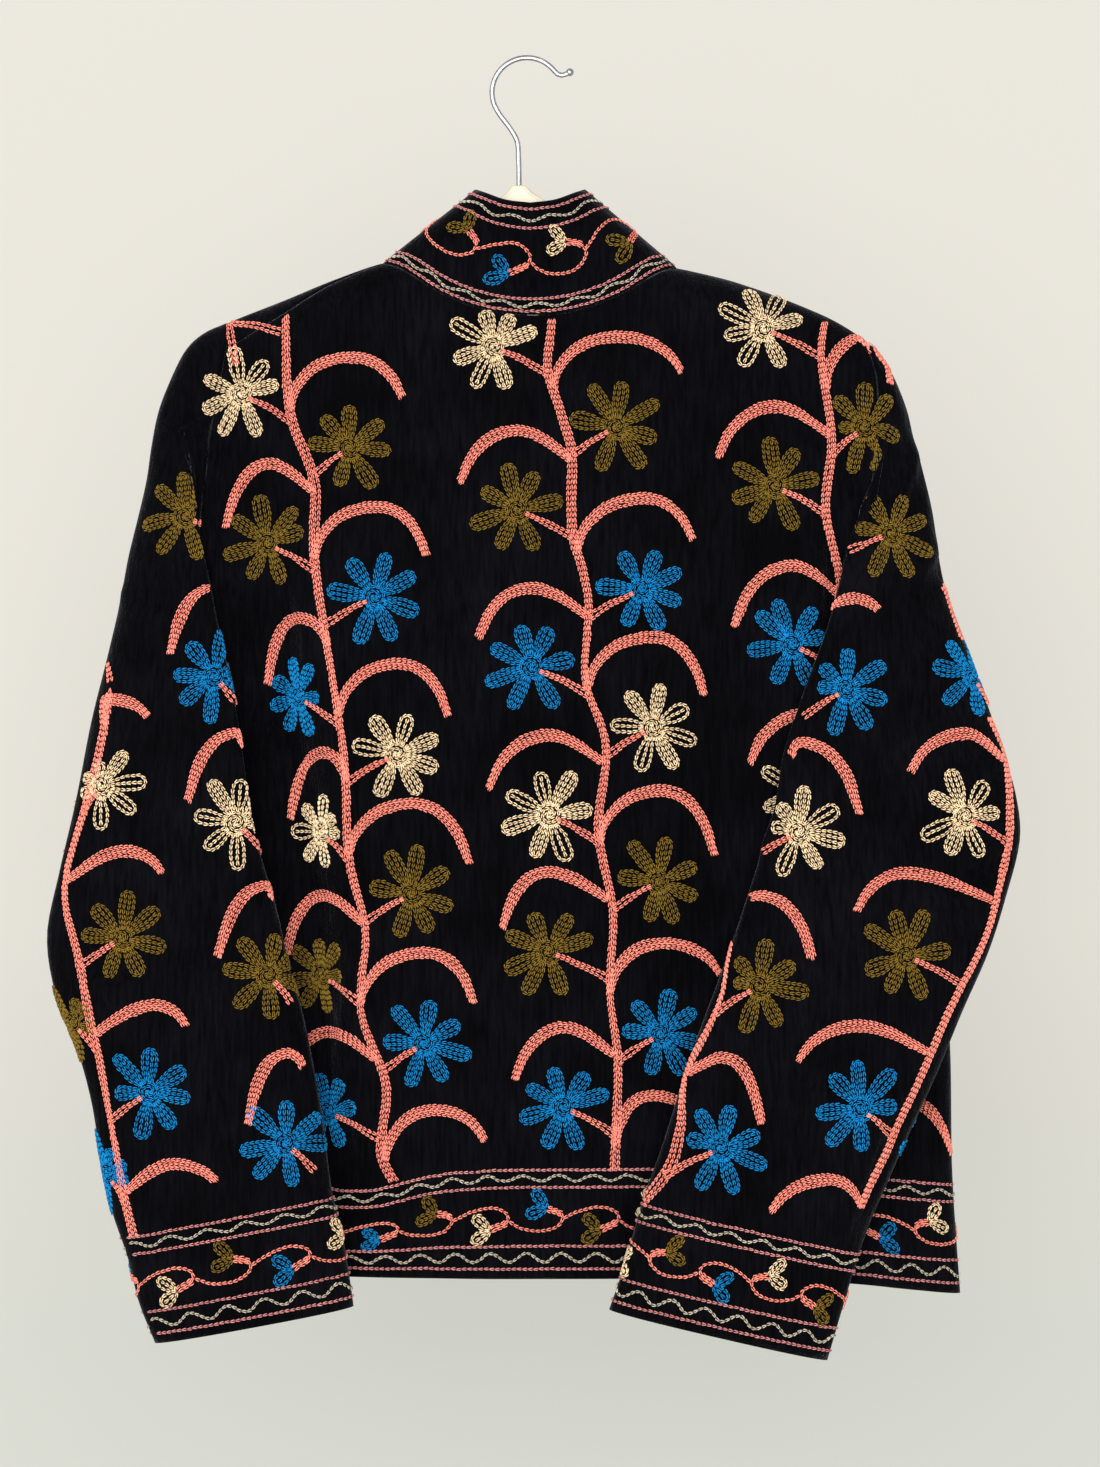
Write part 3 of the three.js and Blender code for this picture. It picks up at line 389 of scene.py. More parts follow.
def clear_of_body(points, near, left):
    """Keeps a sleeve beside its armhole, and in front of the back where it hangs over it."""
    inwards = 1 if left else -1
    x, y, z = np.moveaxis(points, -1, 0)
    edge = curve(LEFT_SIDE if left else RIGHT_SIDE, z)
    inside = (x - edge) * inwards
    beside = ~near & (z > ARMPIT_Z)
    x = np.where(beside & (inside > -OVERLAY_GAP), edge - OVERLAY_GAP * inwards, x)
    depth = body_depth("back", x + OVERLAY_REACH * inwards, z)
    below = smooth((ARMPIT_Z + UNDERARM_START - z) / UNDERARM_RUN)
    room = OVERLAY_GAP + near * (CLOTH + UNDERARM_ROOM * below)
    outside = np.maximum(0, -inside - OVERLAY_GAP)
    y = np.where(beside, y, np.minimum(y, outside * OUTSIDE_EASE - depth - room))
    return np.stack([x, y, z], -1)


def sleeve(rings, hole, left):
    turn = turns_of(hole)
    at = np.linspace(0, len(rings) - 1, SLEEVE_ROWS)[:, None]
    table = [(i, *ring) for i, ring in enumerate(rings)]
    columns = range(1, len(table[0]))
    points = ring_points([curve(table, at, column) for column in columns], turn)
    fade = (1 - np.minimum(1, at / ARMHOLE_FADE_RINGS)) ** 2
    points = points + (hole - ring_points(rings[0], turn)) * fade[..., None]
    clear = clear_of_body(points, turn < pi, left)
    return mix(points, clear, np.minimum(1, at)[..., None])


left_sleeve = sleeve(LEFT_RINGS, armhole(back[:, 0], left_front[:, 0]), True)
right_sleeve = sleeve(RIGHT_RINGS, armhole(back[:, -1], right_front[:, -1]), False)


def collar_points():
    foot = np.concatenate(
        [
            left_front[-1, CORNER:][::-1][:-1],
            back[-1, CORNER : CORNER + NECK_COLUMNS + 1],
            right_front[-1, :half_neck][::-1],
        ]
    )
    along = np.concatenate([[0], np.cumsum(np.linalg.norm(np.diff(foot, axis=0), axis=1))])
    middle = along[len(foot) // 2]
    left_way = along / middle - 1
    right_way = (along - middle) / (along[-1] - middle)
    signed = np.where(along < middle, left_way, right_way)
    way = np.abs(signed)
    x = COLLAR_MIDDLE + np.where(signed < 0, -1, 1) * curve(COLLAR_TOP, way, 1)
    top = np.stack([x, curve(COLLAR_TOP, way, 2), curve(COLLAR_TOP, way, 3)], -1)
    share = np.linspace(0, 1, COLLAR_ROWS + 1)[:, None, None]
    points = mix(foot, top, share)
    y = points[..., 1]
    bulge = COLLAR_BULGE * np.sin(pi * share[..., 0]) * clamp(np.abs(y) / COLLAR_BULGE_REACH)
    points[..., 1] = y + np.sign(y) * bulge
    return points


collar = collar_points()

# ---- Cloth pieces ---------------------------------------------------------------------------


def cut_piece(points, wraps=False, turned=False):
    """The outer faces of one cut piece, from rows of points."""
    rows, columns = points.shape[:2]
    across = columns if wraps else columns - 1
    cloth = bmesh.new()
    bmesh.ops.create_grid(cloth, x_segments=across, y_segments=rows - 1, size=0.5)
    for vert in cloth.verts:
        row = round((vert.co.y + 0.5) * (rows - 1))
        column = round((vert.co.x + 0.5) * across) % columns
        vert.co = Vector(points[row, column]) * MM
    if wraps:
        bmesh.ops.remove_doubles(cloth, verts=cloth.verts, dist=1e-7)
    if turned:
        bmesh.ops.reverse_faces(cloth, faces=cloth.faces)
    for face in cloth.faces:
        face.smooth = True
    cloth.normal_update()
    return cloth


def show(name, cloth, *materials):
    mesh = bpy.data.meshes.new(name)
    cloth.to_mesh(mesh)
    for material in materials:
        mesh.materials.append(material)
    piece = bpy.data.objects.new(name, mesh)
    bpy.context.scene.collection.objects.link(piece)
    return piece


def walled(piece, thickness):
    wall = piece.modifiers.new("wall", "SOLIDIFY")
    wall.thickness = thickness * MM
    wall.offset = -1
    wall.use_even_offset = False
    wall.material_offset = 1
    return piece


# Creases: places seen from behind (x, z), then how high and how wide the ridge is. A trough
# runs along its left side, looking from its first place to its last.
CREASES = {
    "back": [
        ([(-176, -200), (-187, -226), (-196, -252), (-200, -277), (-196, -307), (-184, -345),
          (-177, -380), (-173, -430)], 2.6, 5),
        ([(-176, -424), (-160, -420), (-148, -432)], 2.2, 5),
        ([(-174, -436), (-164, -452), (-160, -474)], 2.4, 5),
        ([(-168, -428), (-152, -446), (-143, -476)], 2.0, 6),
        ([(-164, -330), (-161, -374), (-166, -412)], 1.8, 7),
        ([(-128, -320), (-116, -440), (-106, -560), (-104, -640)], 1.6, 9),
        ([(-98, -560), (-112, -600), (-118, -660)], 1.8, 6),
        ([(-46, -200), (-58, -300), (-52, -420)], 1.0, 12),
        ([(60, -260), (66, -400), (58, -540)], 1.0, 12),
        ([(196, -244), (200, -272), (206, -300)], 2.2, 5),
        ([(180, -210), (172, -270), (180, -330), (188, -372)], 1.6, 7),
        ([(140, -200), (128, -260), (132, -330)], 1.1, 10),
        ([(110, -560), (120, -640), (116, -730)], 1.4, 9),
        ([(-20, -600), (-34, -680), (-30, -750)], 1.2, 9),
    ],
    "left_sleeve": [
        ([(-232, -228), (-216, -236), (-200, -233)], 2.4, 4.5),
        ([(-206, -226), (-198, -240), (-190, -254)], 2.0, 4.5),
        ([(-216, -232), (-212, -262), (-208, -290)], 1.6, 5),
        ([(-256, -330), (-240, -352), (-222, -356)], 1.4, 6),
        ([(-212, -340), (-216, -400), (-206, -450)], 1.3, 8),
        ([(-290, -548), (-266, -556), (-242, -548)], 2.0, 6),
        ([(-284, -566), (-262, -582), (-240, -586)], 1.8, 6),
        ([(-168, -560), (-190, -566), (-212, -560)], 1.5, 6),
        ([(-198, -600), (-190, -660), (-186, -730)], 1.6, 8),
        ([(-250, -640), (-236, -700), (-224, -760)], 1.2, 8),
    ],
    "right_sleeve": [
        ([(248, -240), (240, -262), (228, -290)], 1.6, 5),
        ([(262, -300), (246, -322), (226, -330)], 1.6, 6),
        ([(214, -340), (222, -400), (216, -450)], 1.5, 8),
        ([(176, -560), (172, -620), (168, -690)], 1.8, 7),
        ([(302, -486), (280, -500), (256, -498)], 2.0, 6),
        ([(296, -512), (272, -526), (246, -526)], 1.7, 6),
        ([(150, -500), (172, -510), (196, -506)], 1.5, 6),
        ([(226, -640), (206, -690), (192, -740)], 1.6, 7),
        ([(140, -640), (126, -690), (116, -740)], 1.2, 8),
    ],
    "left_front": [
        ([(-160, -220), (-128, -260), (-104, -330)], 1.6, 9),
        ([(-60, -240), (-76, -360), (-66, -480)], 1.4, 10),
        ([(-170, -440), (-150, -540), (-154, -660)], 1.6, 9),
        ([(-40, -520), (-52, -620), (-44, -740)], 1.4, 9),
    ],
    "right_front": [
        ([(170, -220), (140, -262), (116, -330)], 1.6, 9),
        ([(76, -240), (90, -360), (80, -480)], 1.4, 10),
        ([(200, -450), (178, -550), (184, -670)], 1.6, 9),
        ([(50, -520), (62, -620), (54, -740)], 1.4, 9),
    ],
    "collar": [],
}
CREASE_STRENGTH = 1.8
TROUGH = 0.7  # depth of a crease's trough against the height of its ridge
TROUGH_ASIDE = 1.5  # how far beside the ridge it runs, in widths
UNEVEN = 0.3  # share by which a crease's height varies along it
SEAM_DIP = 0.5  # how far the cloth is drawn in at a seam


def crease_rise(x, z, places, height, width):
    nearest = np.full(x.shape, 1e9)
    rise = np.zeros(x.shape)
    count = len(places) - 1
    for i, ((x0, z0), (x1, z1)) in enumerate(zip(places, places[1:])):
        length = hypot(x1 - x0, z1 - z0)
        along = clamp(((x - x0) * (x1 - x0) + (z - z0) * (z1 - z0)) / length**2)
        away = np.hypot(x - mix(x0, x1, along), z - mix(z0, z1, along))
        aside = ((x - x0) * (z1 - z0) - (z - z0) * (x1 - x0)) / length
        signed = np.copysign(away, aside)
        share = (i + along) / count
        fade = np.sin(pi * share) ** 0.7 * (1 + UNEVEN * np.sin(9 * share + x0))
        trough = TROUGH * np.exp(-((signed / width + TROUGH_ASIDE) ** 2))
        ridge = np.exp(-((away / width) ** 2)) - trough
        rise = np.where(away < nearest, height * fade * ridge, rise)
        nearest = np.minimum(nearest, away)
    return rise


def lived_in(name, points, wraps, turned):
    """Raises the small creases, and lowers the cloth a little along its seams."""
    around = np.roll(points, -1, 1) - np.roll(points, 1, 1)
    across = around if wraps else np.gradient(points, axis=1)
    outward = np.cross(across, np.gradient(points, axis=0)) * (-1 if turned else 1)
    outward /= np.linalg.norm(outward, axis=2)[..., None]
    x, z = points[..., 0], points[..., 2]
    front = name.endswith("front")
    facing = smooth((outward[..., 1] if front else -outward[..., 1]) / 0.5)
    rise = sum((crease_rise(x, z, *crease) for crease in CREASES[name]), np.zeros(x.shape))
    rise = rise * facing * CREASE_STRENGTH
    seam = np.zeros(x.shape)
    seam[0] = name.endswith("sleeve") or name == "collar"
    seam[-1] = name.endswith("front") or name == "back"
    if name == "back" or name == "left_front":
        seam[:, 0] = 1
    if name == "back" or name == "right_front":
        seam[:, -1] = 1
    rise = np.where(seam > 0, -SEAM_DIP, rise)
    return points + outward * rise[..., None]


outer = {}
for name, points, wraps, turned in (
    ("back", back, False, False),
    ("left_front", left_front, False, True),
    ("right_front", right_front, False, True),
    ("left_sleeve", left_sleeve, True, True),
    ("right_sleeve", right_sleeve, True, False),
    ("collar", collar, False, False),
):
    outer[name] = cut_piece(lived_in(name, points, wraps, turned), wraps, turned)

# ---- Finishes -------------------------------------------------------------------------------


def effect(name, inputs, outputs):
    """An empty node group with named inputs (with their defaults) and outputs."""
    group = bpy.data.node_groups.new(name, "ShaderNodeTree")
    for label, default in inputs.items():
        kind = "NodeSocketColor" if isinstance(default, tuple) else "NodeSocketFloat"
        socket = group.interface.new_socket(label, in_out="INPUT", socket_type=kind)
        socket.default_value = default
    for label, kind in outputs.items():
        group.interface.new_socket(label, in_out="OUTPUT", socket_type="NodeSocket" + kind)
    return group


def put(tree, kind, sockets=(), **settings):
    """A new node; sockets give values, or the socket that each input is fed from."""
    node = tree.nodes.new(kind)
    for key, value in settings.items():
        setattr(node, key, value)
    for key, value in dict(sockets).items():
        if isinstance(value, bpy.types.NodeSocket):
            tree.links.new(value, node.inputs[key])
        else:
            node.inputs[key].default_value = value
    return node


def pile_effect():
    """Velvet pile: brushed streaks down the cloth, patches and single tufts; where streak and
    patch meet the colour is lighter, partly the nap's own tone and partly painted grey sheen.
    """
    group = effect(
        "pile",
        {"Deep": (0, 0, 0, 1), "Brushed_and_sheen": (0, 0, 0, 1), "Streaks": 1.0, "Lay": 0.0},
        {"Color": "Color", "Roughness": "Float", "Height": "Float"},
    )
    given = put(group, "NodeGroupInput")
    place = put(group, "ShaderNodeTexCoord").outputs["Object"]
    down = put(group, "ShaderNodeMapping", {"Vector": place, "Scale": (1, 1, 0.12)})
    streak = put(
        group, "ShaderNodeTexNoise", {"Vector": down.outputs[0], "Scale": 420, "Detail": 3}
    )
    patch = put(group, "ShaderNodeTexNoise", {"Vector": place, "Scale": 22, "Detail": 4})
    tuft = put(group, "ShaderNodeTexNoise", {"Vector": place, "Scale": 900, "Detail": 2})
    both = put(
        group, "ShaderNodeMath", {0: streak.outputs["Fac"], 1: patch.outputs["Fac"]},
        operation="MULTIPLY",
    )
    amount = put(
        group, "ShaderNodeMath", {0: both.outputs[0], 1: given.outputs["Streaks"]},
        operation="MULTIPLY",
    )
    share = put(
        group, "ShaderNodeMapRange",
        {"Value": amount.outputs[0], "From Min": 0.14, "From Max": 0.42},
    )
    # painted sheen: the lighter colour is partly the nap's own tone, partly grey sheen painted
    # into the colour
    colour = put(
        group, "ShaderNodeMix",
        {"Factor": share.outputs[0], "A": given.outputs["Deep"], "B": given.outputs["Brushed_and_sheen"]},
        data_type="RGBA",
    )
    rough = put(
        group, "ShaderNodeMapRange",
        {"Value": patch.outputs["Fac"], "To Min": 0.72, "To Max": 0.95},
    )
    tufts = put(
        group, "ShaderNodeMath", {0: streak.outputs["Fac"], 1: tuft.outputs["Fac"]},
        operation="ADD",
    )
    height = put(
        group, "ShaderNodeMath",
        {0: patch.outputs["Fac"], 1: given.outputs["Lay"], 2: tufts.outputs[0]},
        operation="MULTIPLY_ADD",
    )
    put(
        group, "NodeGroupOutput",
        {
            "Color": colour.outputs["Result"],
            "Roughness": rough.outputs[0],
            "Height": height.outputs[0],
        },
    )
    return group


def finish_named(name):
    material = bpy.data.materials.new(name)
    material.use_nodes = True
    tree = material.node_tree
    return material, tree, tree.nodes["Principled BSDF"]


def feed(tree, surface, **sockets):
    """Sets a surface's sockets; a name's underscores stand for spaces."""
    for key, value in sockets.items():
        socket = surface.inputs[key.replace("_", " ")]
        if isinstance(value, bpy.types.NodeSocket):
            tree.links.new(value, socket)
        else:
            socket.default_value = value


PILE = pile_effect()


def velvet():
    material, tree, surface = finish_named("velvet")
    pile = put(tree, "ShaderNodeGroup", node_tree=PILE)
    pile.inputs["Deep"].default_value = (0.0003, 0.0003, 0.0008, 1)
    # the lighter pile colour: partly the nap's own tone, partly painted grey sheen
    pile.inputs["Brushed_and_sheen"].default_value = (0.0028, 0.0028, 0.0042, 1)
    pile.inputs["Lay"].default_value = 9
    bump = put(tree, "ShaderNodeBump", {"Height": pile.outputs["Height"], "Distance": 0.0006})
    feed(
        tree, surface, Base_Color=pile.outputs["Color"], Roughness=pile.outputs["Roughness"],
        Normal=bump.outputs[0], Specular_IOR_Level=0.03, Sheen_Weight=0.15,
        Sheen_Roughness=0.33, Sheen_Tint=(0.55, 0.57, 0.66, 1),
    )
    return material


def lining():
    material, tree, surface = finish_named("lining")
    pile = put(tree, "ShaderNodeGroup", node_tree=PILE)
    pile.inputs["Deep"].default_value = (0.012, 0.012, 0.016, 1)
    # the lighter colour: partly the lining's own tone, partly painted sheen
    pile.inputs["Brushed_and_sheen"].default_value = (0.03, 0.03, 0.036, 1)
    bump = put(tree, "ShaderNodeBump", {"Height": pile.outputs["Height"], "Distance": 0.0002})
    feed(
        tree, surface, Base_Color=pile.outputs["Color"], Roughness=pile.outputs["Roughness"],
        Normal=bump.outputs[0], Specular_IOR_Level=0.3,
    )
    return material


def painted_wood():
    material, tree, surface = finish_named("painted_wood")
    place = put(tree, "ShaderNodeTexCoord").outputs["Object"]
    long = put(tree, "ShaderNodeMapping", {"Vector": place, "Scale": (0.15, 1, 1)})
    grain = put(tree, "ShaderNodeTexNoise", {"Vector": long.outputs[0], "Scale": 180, "Detail": 4})
    colour = put(
        tree, "ShaderNodeMix",
        {"Factor": grain.outputs["Fac"], "A": (0.55, 0.47, 0.35, 1), "B": (0.7, 0.63, 0.5, 1)},
        data_type="RGBA",
    )
    rough = put(
        tree, "ShaderNodeMapRange",
        {"Value": grain.outputs["Fac"], "To Min": 0.35, "To Max": 0.55},
    )
    bump = put(tree, "ShaderNodeBump", {"Height": grain.outputs["Fac"], "Distance": 0.0002})
    feed(
        tree, surface, Base_Color=colour.outputs["Result"], Roughness=rough.outputs[0],
        Normal=bump.outputs[0],
    )
    return material


def chrome():
    material, tree, surface = finish_named("chrome")
    place = put(tree, "ShaderNodeTexCoord").outputs["Object"]
    reflections_and_haze = put(tree, "ShaderNodeTexNoise", {"Vector": place, "Scale": 160, "Detail": 4})
    # painted reflections: dark and light streaks painted into the metal's colour; the same noise
    # varies its roughness
    colour = put(
        tree, "ShaderNodeMix",
        {"Factor": reflections_and_haze.outputs["Fac"], "A": (0.16, 0.17, 0.19, 1), "B": (0.55, 0.56, 0.58, 1)},
        data_type="RGBA",
    )
    rough = put(
        tree, "ShaderNodeMapRange",
        {"Value": reflections_and_haze.outputs["Fac"], "To Min": 0.12, "To Max": 0.35},
    )
    feed(
        tree, surface, Base_Color=colour.outputs["Result"], Roughness=rough.outputs[0], Metallic=1
    )
    return material


VELVET = velvet()
LINING = lining()
for name, finish in (("hanger_arms", painted_wood()), ("hanger_hook", chrome())):
    for slot in bpy.data.objects[name].material_slots:
        slot.material = finish

# A sleeve folds its lining out of sight above the armpit, so its wall is velvet on both sides
# there: the third and fourth materials.
pieces = {}
for name, cloth in outer.items():
    thickness = SLEEVE_CLOTH if name.endswith("sleeve") else CLOTH
    for face in cloth.faces:
        middle = face.calc_center_median()
        if name.endswith("sleeve") and middle.z > ARMPIT_Z * MM and middle.y < 0:
            face.material_index = 2
    shown = show(name + "_velvet", cloth, VELVET, LINING, VELVET, VELVET)
    piece = walled(shown, thickness)
    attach(piece, "root")
    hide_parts(name)
    pieces[name] = piece

# ---- Embroidery: how a line of thread is laid on the cloth -----------------------------------

STITCH = 3.45  # length of one chain stitch
LONG_ROW = 62  # rows this long start and end where they happen to
STEP = 3.0  # between the places that a line is led through
# How far ahead, aside and above the cloth a strand runs, from a stitch's start to its end.
STRAND = ((-2.0, -0.6, 1.15, 2.2), (0.1, 0.45, 0.74, 0.12), (0.74, 0.64, 0.44, 0.12))
STRAND_HALF = 0.6
BEHIND = Vector((0.0145, -2.6, -0.424))  # the eye that looks at the back
FACING = Vector((0.0145, 2.6, -0.424))
WALKABLE = 1.7  # how far a step of a walk may be moved onto the cloth
SHADE_VARIES, TONE_VARIES = 0.35, 0.7  # from row to row, and from stitch to stitch
SIDE_VARIES, WIDTH_VARIES = 0.13, 0.06
BORDER_THREAD = 0.86  # how much finer the borders' thread is
MOST_MISS = 0.004  # how far beside the cloth a place may be and still be moved onto it

sewn = {}


def led(places, step=STEP):
    """Places along a smooth line through the given ones, in the same units as they are."""
    places = np.array(places, float)
    along = np.concatenate([[0], np.cumsum(np.linalg.norm(np.diff(places, axis=0), axis=1))])
    table = np.column_stack([along, places])
    at = np.linspace(0, along[-1], max(2, ceil(along[-1] / step) + 1))
    return np.stack([curve(table, at, 1 + i) for i in range(places.shape[1])], -1)


class Ground:
    """Cloth that a motif is sewn on, and the eye that its (x, z) places are read from."""

    def __init__(self, panel, *names, eye=BEHIND):
        self.panel = panel
        self.eye = eye
        self.cloth = bmesh.new()
        for name in names:
            self.cloth.from_mesh(pieces[name].data)
        bmesh.ops.remove_doubles(self.cloth, verts=self.cloth.verts, dist=4e-4)
        self.cloth.normal_update()
        self.cloth.faces.ensure_lookup_table()
        self.tree = BVHTree.FromBMesh(self.cloth)

    def rest(self, place):
        """The nearest place on the cloth, its outward direction, and how far it was moved."""
        place, _, index, moved = self.tree.find_nearest(place)
        verts = self.cloth.faces[index].verts
        shares = poly_3d_calc([vert.co for vert in verts], place)
        normal = sum((vert.normal * share for vert, share in zip(verts, shares)), Vector())
        return place, normal.normalized(), moved

    def see(self, x, z):
        toward = (Vector((x * MM, 0, z * MM)) - self.eye).normalized()
        place = self.tree.ray_cast(self.eye, toward)[0]
        if place is None:
            guess = self.eye + toward * (Vector((x * MM, 0, z * MM)) - self.eye).length * 0.985
            place, _, moved = self.rest(guess)
            if moved > MOST_MISS:
                return None
        return place

    def line(self, places):
        """The cloth under a smooth line through (x, z) places."""
        found = [self.see(x, z) for x, z in led(places)]
        return [place for place in found if place is not None]

    def walk(self, place, angle, length):
        """Straight ahead over the cloth: places, outward directions and sideways directions."""
        _, normal, _ = self.rest(place)
        up = (Vector((0, 0, 1)) - normal * normal.z).normalized()
        ahead = up.cross(normal) * cos(angle) + up * sin(angle)
        trail = [(place, normal, normal.cross(ahead))]
        for _ in range(ceil(length / STEP)):
            place, normal, moved = self.rest(place + ahead * STEP * MM)
            if moved > WALKABLE * MM:
                break
            ahead = (ahead - normal * ahead.dot(normal)).normalized()
            trail.append((place, normal, normal.cross(ahead)))
        return trail


def sew(ground, line, colour, lift=0.0, loose=False):
    """One row of chain stitches along a line of places on the cloth.

    A loose row starts and ends anywhere within a stitch's length.
    """
    if len(line) < 2:
        return
    line = np.array(line)
    along = np.concatenate([[0], np.cumsum(np.linalg.norm(np.diff(line, axis=0), axis=1))])
    count = max(1, round(along[-1] / MM / STITCH))
    slack = STITCH * MM if loose or along[-1] > LONG_ROW * MM else 0
    first, last = chance.uniform(0, slack), along[-1] - chance.uniform(0, 0.7 * slack)
    ends = np.linspace(first, last, count + 1)
    ends = np.stack([np.interp(ends, along, line[:, i]) for i in range(3)], -1)
    shade = chance.normal(0, SHADE_VARIES)
    border = colour in ("rose", "straw")
    rows = sewn.setdefault((ground.panel, colour), [])
    for start, end in zip(ends[:-1], ends[1:]):
        ahead = Vector(end - start)
        place, normal, _ = ground.rest(Vector((start + end) / 2))
        side = normal.cross(ahead).normalized()
        turn = Matrix((side.cross(normal), side, normal)).transposed().to_quaternion()
        place = place + (normal * lift + side * chance.normal(0, SIDE_VARIES)) * MM
        stretch = ahead.length / (STITCH * MM)
        tone = shade + chance.normal(0, TONE_VARIES)
        wide = chance.normal(1, WIDTH_VARIES) * (BORDER_THREAD if border else 1)
        rows.append((*place, *turn, stretch, wide, 1.0, tone))


def band(ground, line, colour, widths, rows, lift=0.0):
    """Rows of chain stitch side by side; widths give their spread from start to end."""
    if len(line) < 3:
        return
    found = [ground.rest(Vector(place)) for place in line]
    line = np.array([place for place, _, _ in found])
    normals = np.array([normal for _, normal, _ in found])
    sides = np.cross(normals, np.gradient(line, axis=0))
    sides /= np.linalg.norm(sides, axis=1)[:, None]
    share = np.linspace(0, 1, len(line))
    spread = np.interp(share, np.linspace(0, 1, len(widths)), widths)
    for row in range(rows):
        wander = 0.25 * np.sin(share * chance.uniform(5, 14) + chance.uniform(0, 6))
        shift = (row / max(rows - 1, 1) - 0.5) * spread + wander
        moved = line + sides * shift[:, None] * MM
        places = [ground.rest(Vector(place))[0] for place in moved]
        sew(ground, places, colour, lift, loose=rows > 2)


# ---- Embroidery: motifs ---------------------------------------------------------------------


ARC_SPREAD = (3.0, 4.4, 5.5, 5.8, 5.4, 4.4, 2.9)
STEM_SPREAD = (3.0, 4.3, 2.6, 4.0, 2.7, 4.3)
STALK_SPREAD = (3.4, 2.3, 0.9)
STALK_ROOM = 0.68  # between a stalk and the petals beside it
PETAL_CAP = 4.0  # length of a petal's round tip
PETAL_TRIM = 1.2  # how far inside its reach the thread's middle turns
PETAL_TAPER = 0.27  # half width of a petal against the distance from the flower's middle
SHORTEST_PETAL = 17
STEM_ROOM = 4
INNER_ROW = 0.34  # how far aside a petal's inner rows are, as a share of its half width
WOUND_TURNS = 19  # of the middle, in radians


def petal(ground, centre, angle, reach, colour, full):
    trail = ground.walk(centre, angle, reach)
    radii = np.arange(len(trail)) * STEP
    reach = min(reach, radii[-1])
    if reach < 11:
        return
    columns = [np.array([step[i] for step in trail]) for i in range(3)]

    def place(radius, aside):
        spine, _, side = (
            [np.interp(radius, radii, column[:, axis]) for axis in range(3)] for column in columns
        )
        return ground.rest(Vector(spine) + Vector(side) * aside * MM)[0]

    tip = reach - PETAL_TRIM
    cap = PETAL_CAP
    wide = chance.uniform(3.7, 4.7)
    first, last = 5 + chance.uniform(0, 2.4, 2)
    steps = np.linspace(first, tip - cap, 7)
    sides = [(radius, min(PETAL_TAPER * radius, wide)) for radius in steps]
    round_tip = [(tip - cap + cap * sin(a), wide * cos(a)) for a in np.linspace(0.35, pi / 2, 4)]
    half = sides + round_tip
    outline = [(r, w) for r, w in half] + [(r, -w) for r, w in half[-2:0:-1]]
    outline.append((last, -PETAL_TAPER * last))
    sew(ground, [place(r, w) for r, w in outline], colour)
    if full:
        for aside in (-INNER_ROW, INNER_ROW):
            first, last = 4.4 + chance.uniform(0, 3.3), tip - chance.uniform(0.8, 2.2)
            inner = [(r, aside * min(PETAL_TAPER * r, wide)) for r in np.linspace(first, last, 6)]
            sew(ground, [place(r, w) for r, w in inner], colour, 0.1)
    else:
        sew(ground, [place(r, 0) for r in np.linspace(6, tip - 2.5, 5)], colour, 0.1)


def short_of(stem, x, z, angle, length):
    """The length of a petal that stops short of a stem, given as (height, x) places."""
    side = np.sign(float(curve(stem, z)) - x)
    while length > SHORTEST_PETAL:
        beyond = float(curve(stem, z + length * sin(angle))) - (x + length * cos(angle))
        if beyond * side > STEM_ROOM:
            break
        length -= 1
    return length


def flower(ground, x, z, colour, away=0.0, reach=30.0, petals=7, stem=None):
    """Petals round a wound middle, with room for a stalk in the direction away."""
    centre = ground.see(x, z)
    if centre is None:
        return
    for i in range(petals):
        angle = away + STALK_ROOM + i * (2 * pi - 2 * STALK_ROOM) / (petals - 1)
        full = colour != "cream" or chance.random() < 0.6
        angle += chance.normal(0, 0.07)
        length = reach * chance.uniform(0.87, 1.07)
        if stem:
            length = short_of(stem, x, z, angle, length)
        petal(ground, centre, angle, length, colour, full)
    _, normal, _ = ground.rest(centre)
    up = (Vector((0, 0, 1)) - normal * normal.z).normalized()
    across = up.cross(normal)
    wound = []
    for turn in np.arange(0, WOUND_TURNS, 0.5):
        radius = (0.9 + 0.4 * turn) * MM
        place = centre + (across * cos(turn) + up * sin(turn)) * radius
        wound.append(ground.rest(place)[0])
    sew(ground, wound, colour, 0.15)
    for angle in chance.uniform(0, pi, 2):
        aside = (across * cos(angle) + up * sin(angle)) * 2.6 * MM
        sew(ground, [centre - aside, centre + aside], colour, 0.45)


def arc(ground, start, over, end):
    """A leaf-like arc from a stem at start, bending over a flower, down to its end."""
    start, over, end = (np.array(place, float) for place in (start, over, end))
    rise = over - start
    drop = end - over
    steep = rise[1] > 0.75 * abs(rise[0])
    rising = ((0.05, 0.32), (0.26, 0.68), (0.56, 0.91)) if steep else ((0.3, 0.42), (0.62, 0.8))
    falling = ((0.42, 0.12), (0.77, 0.47))
    places = [start, *(start + rise * share for share in rising), over]
    places += [*(over + drop * share for share in falling), end]
    band(ground, ground.line(places), "coral", ARC_SPREAD, 4)


def vine(ground, stem, flowers, rise, height, drawn=True, reach=30.0, clear=True):
    """A stem with flowers: (x, z, colour, end of its arc or None), kept clear of the stem."""
    by_height = [(z, x) for x, z in stem]
    if drawn:
        band(ground, ground.line(stem), "coral", STEM_SPREAD, 3)
    for x, z, colour, end in flowers:
        join = (float(curve(by_height, z - 18)), z - 18)
        away = atan2(join[1] - z, join[0] - x)
        if colour:
            flower(ground, x, z, colour, away, reach, stem=by_height if clear else None)
            near = (x + 5.5 * cos(away), z + 5.5 * sin(away))
            middle = ((join[0] + near[0]) / 2, (join[1] + near[1]) / 2 + 1)
            band(ground, ground.line([join, middle, near]), "coral", STALK_SPREAD, 2, 0.5)
        if end:
            foot = (float(curve(by_height, z + rise)), z + rise)
            arc(ground, foot, (x + (2 if end[0] > x else 0), z + height), end)


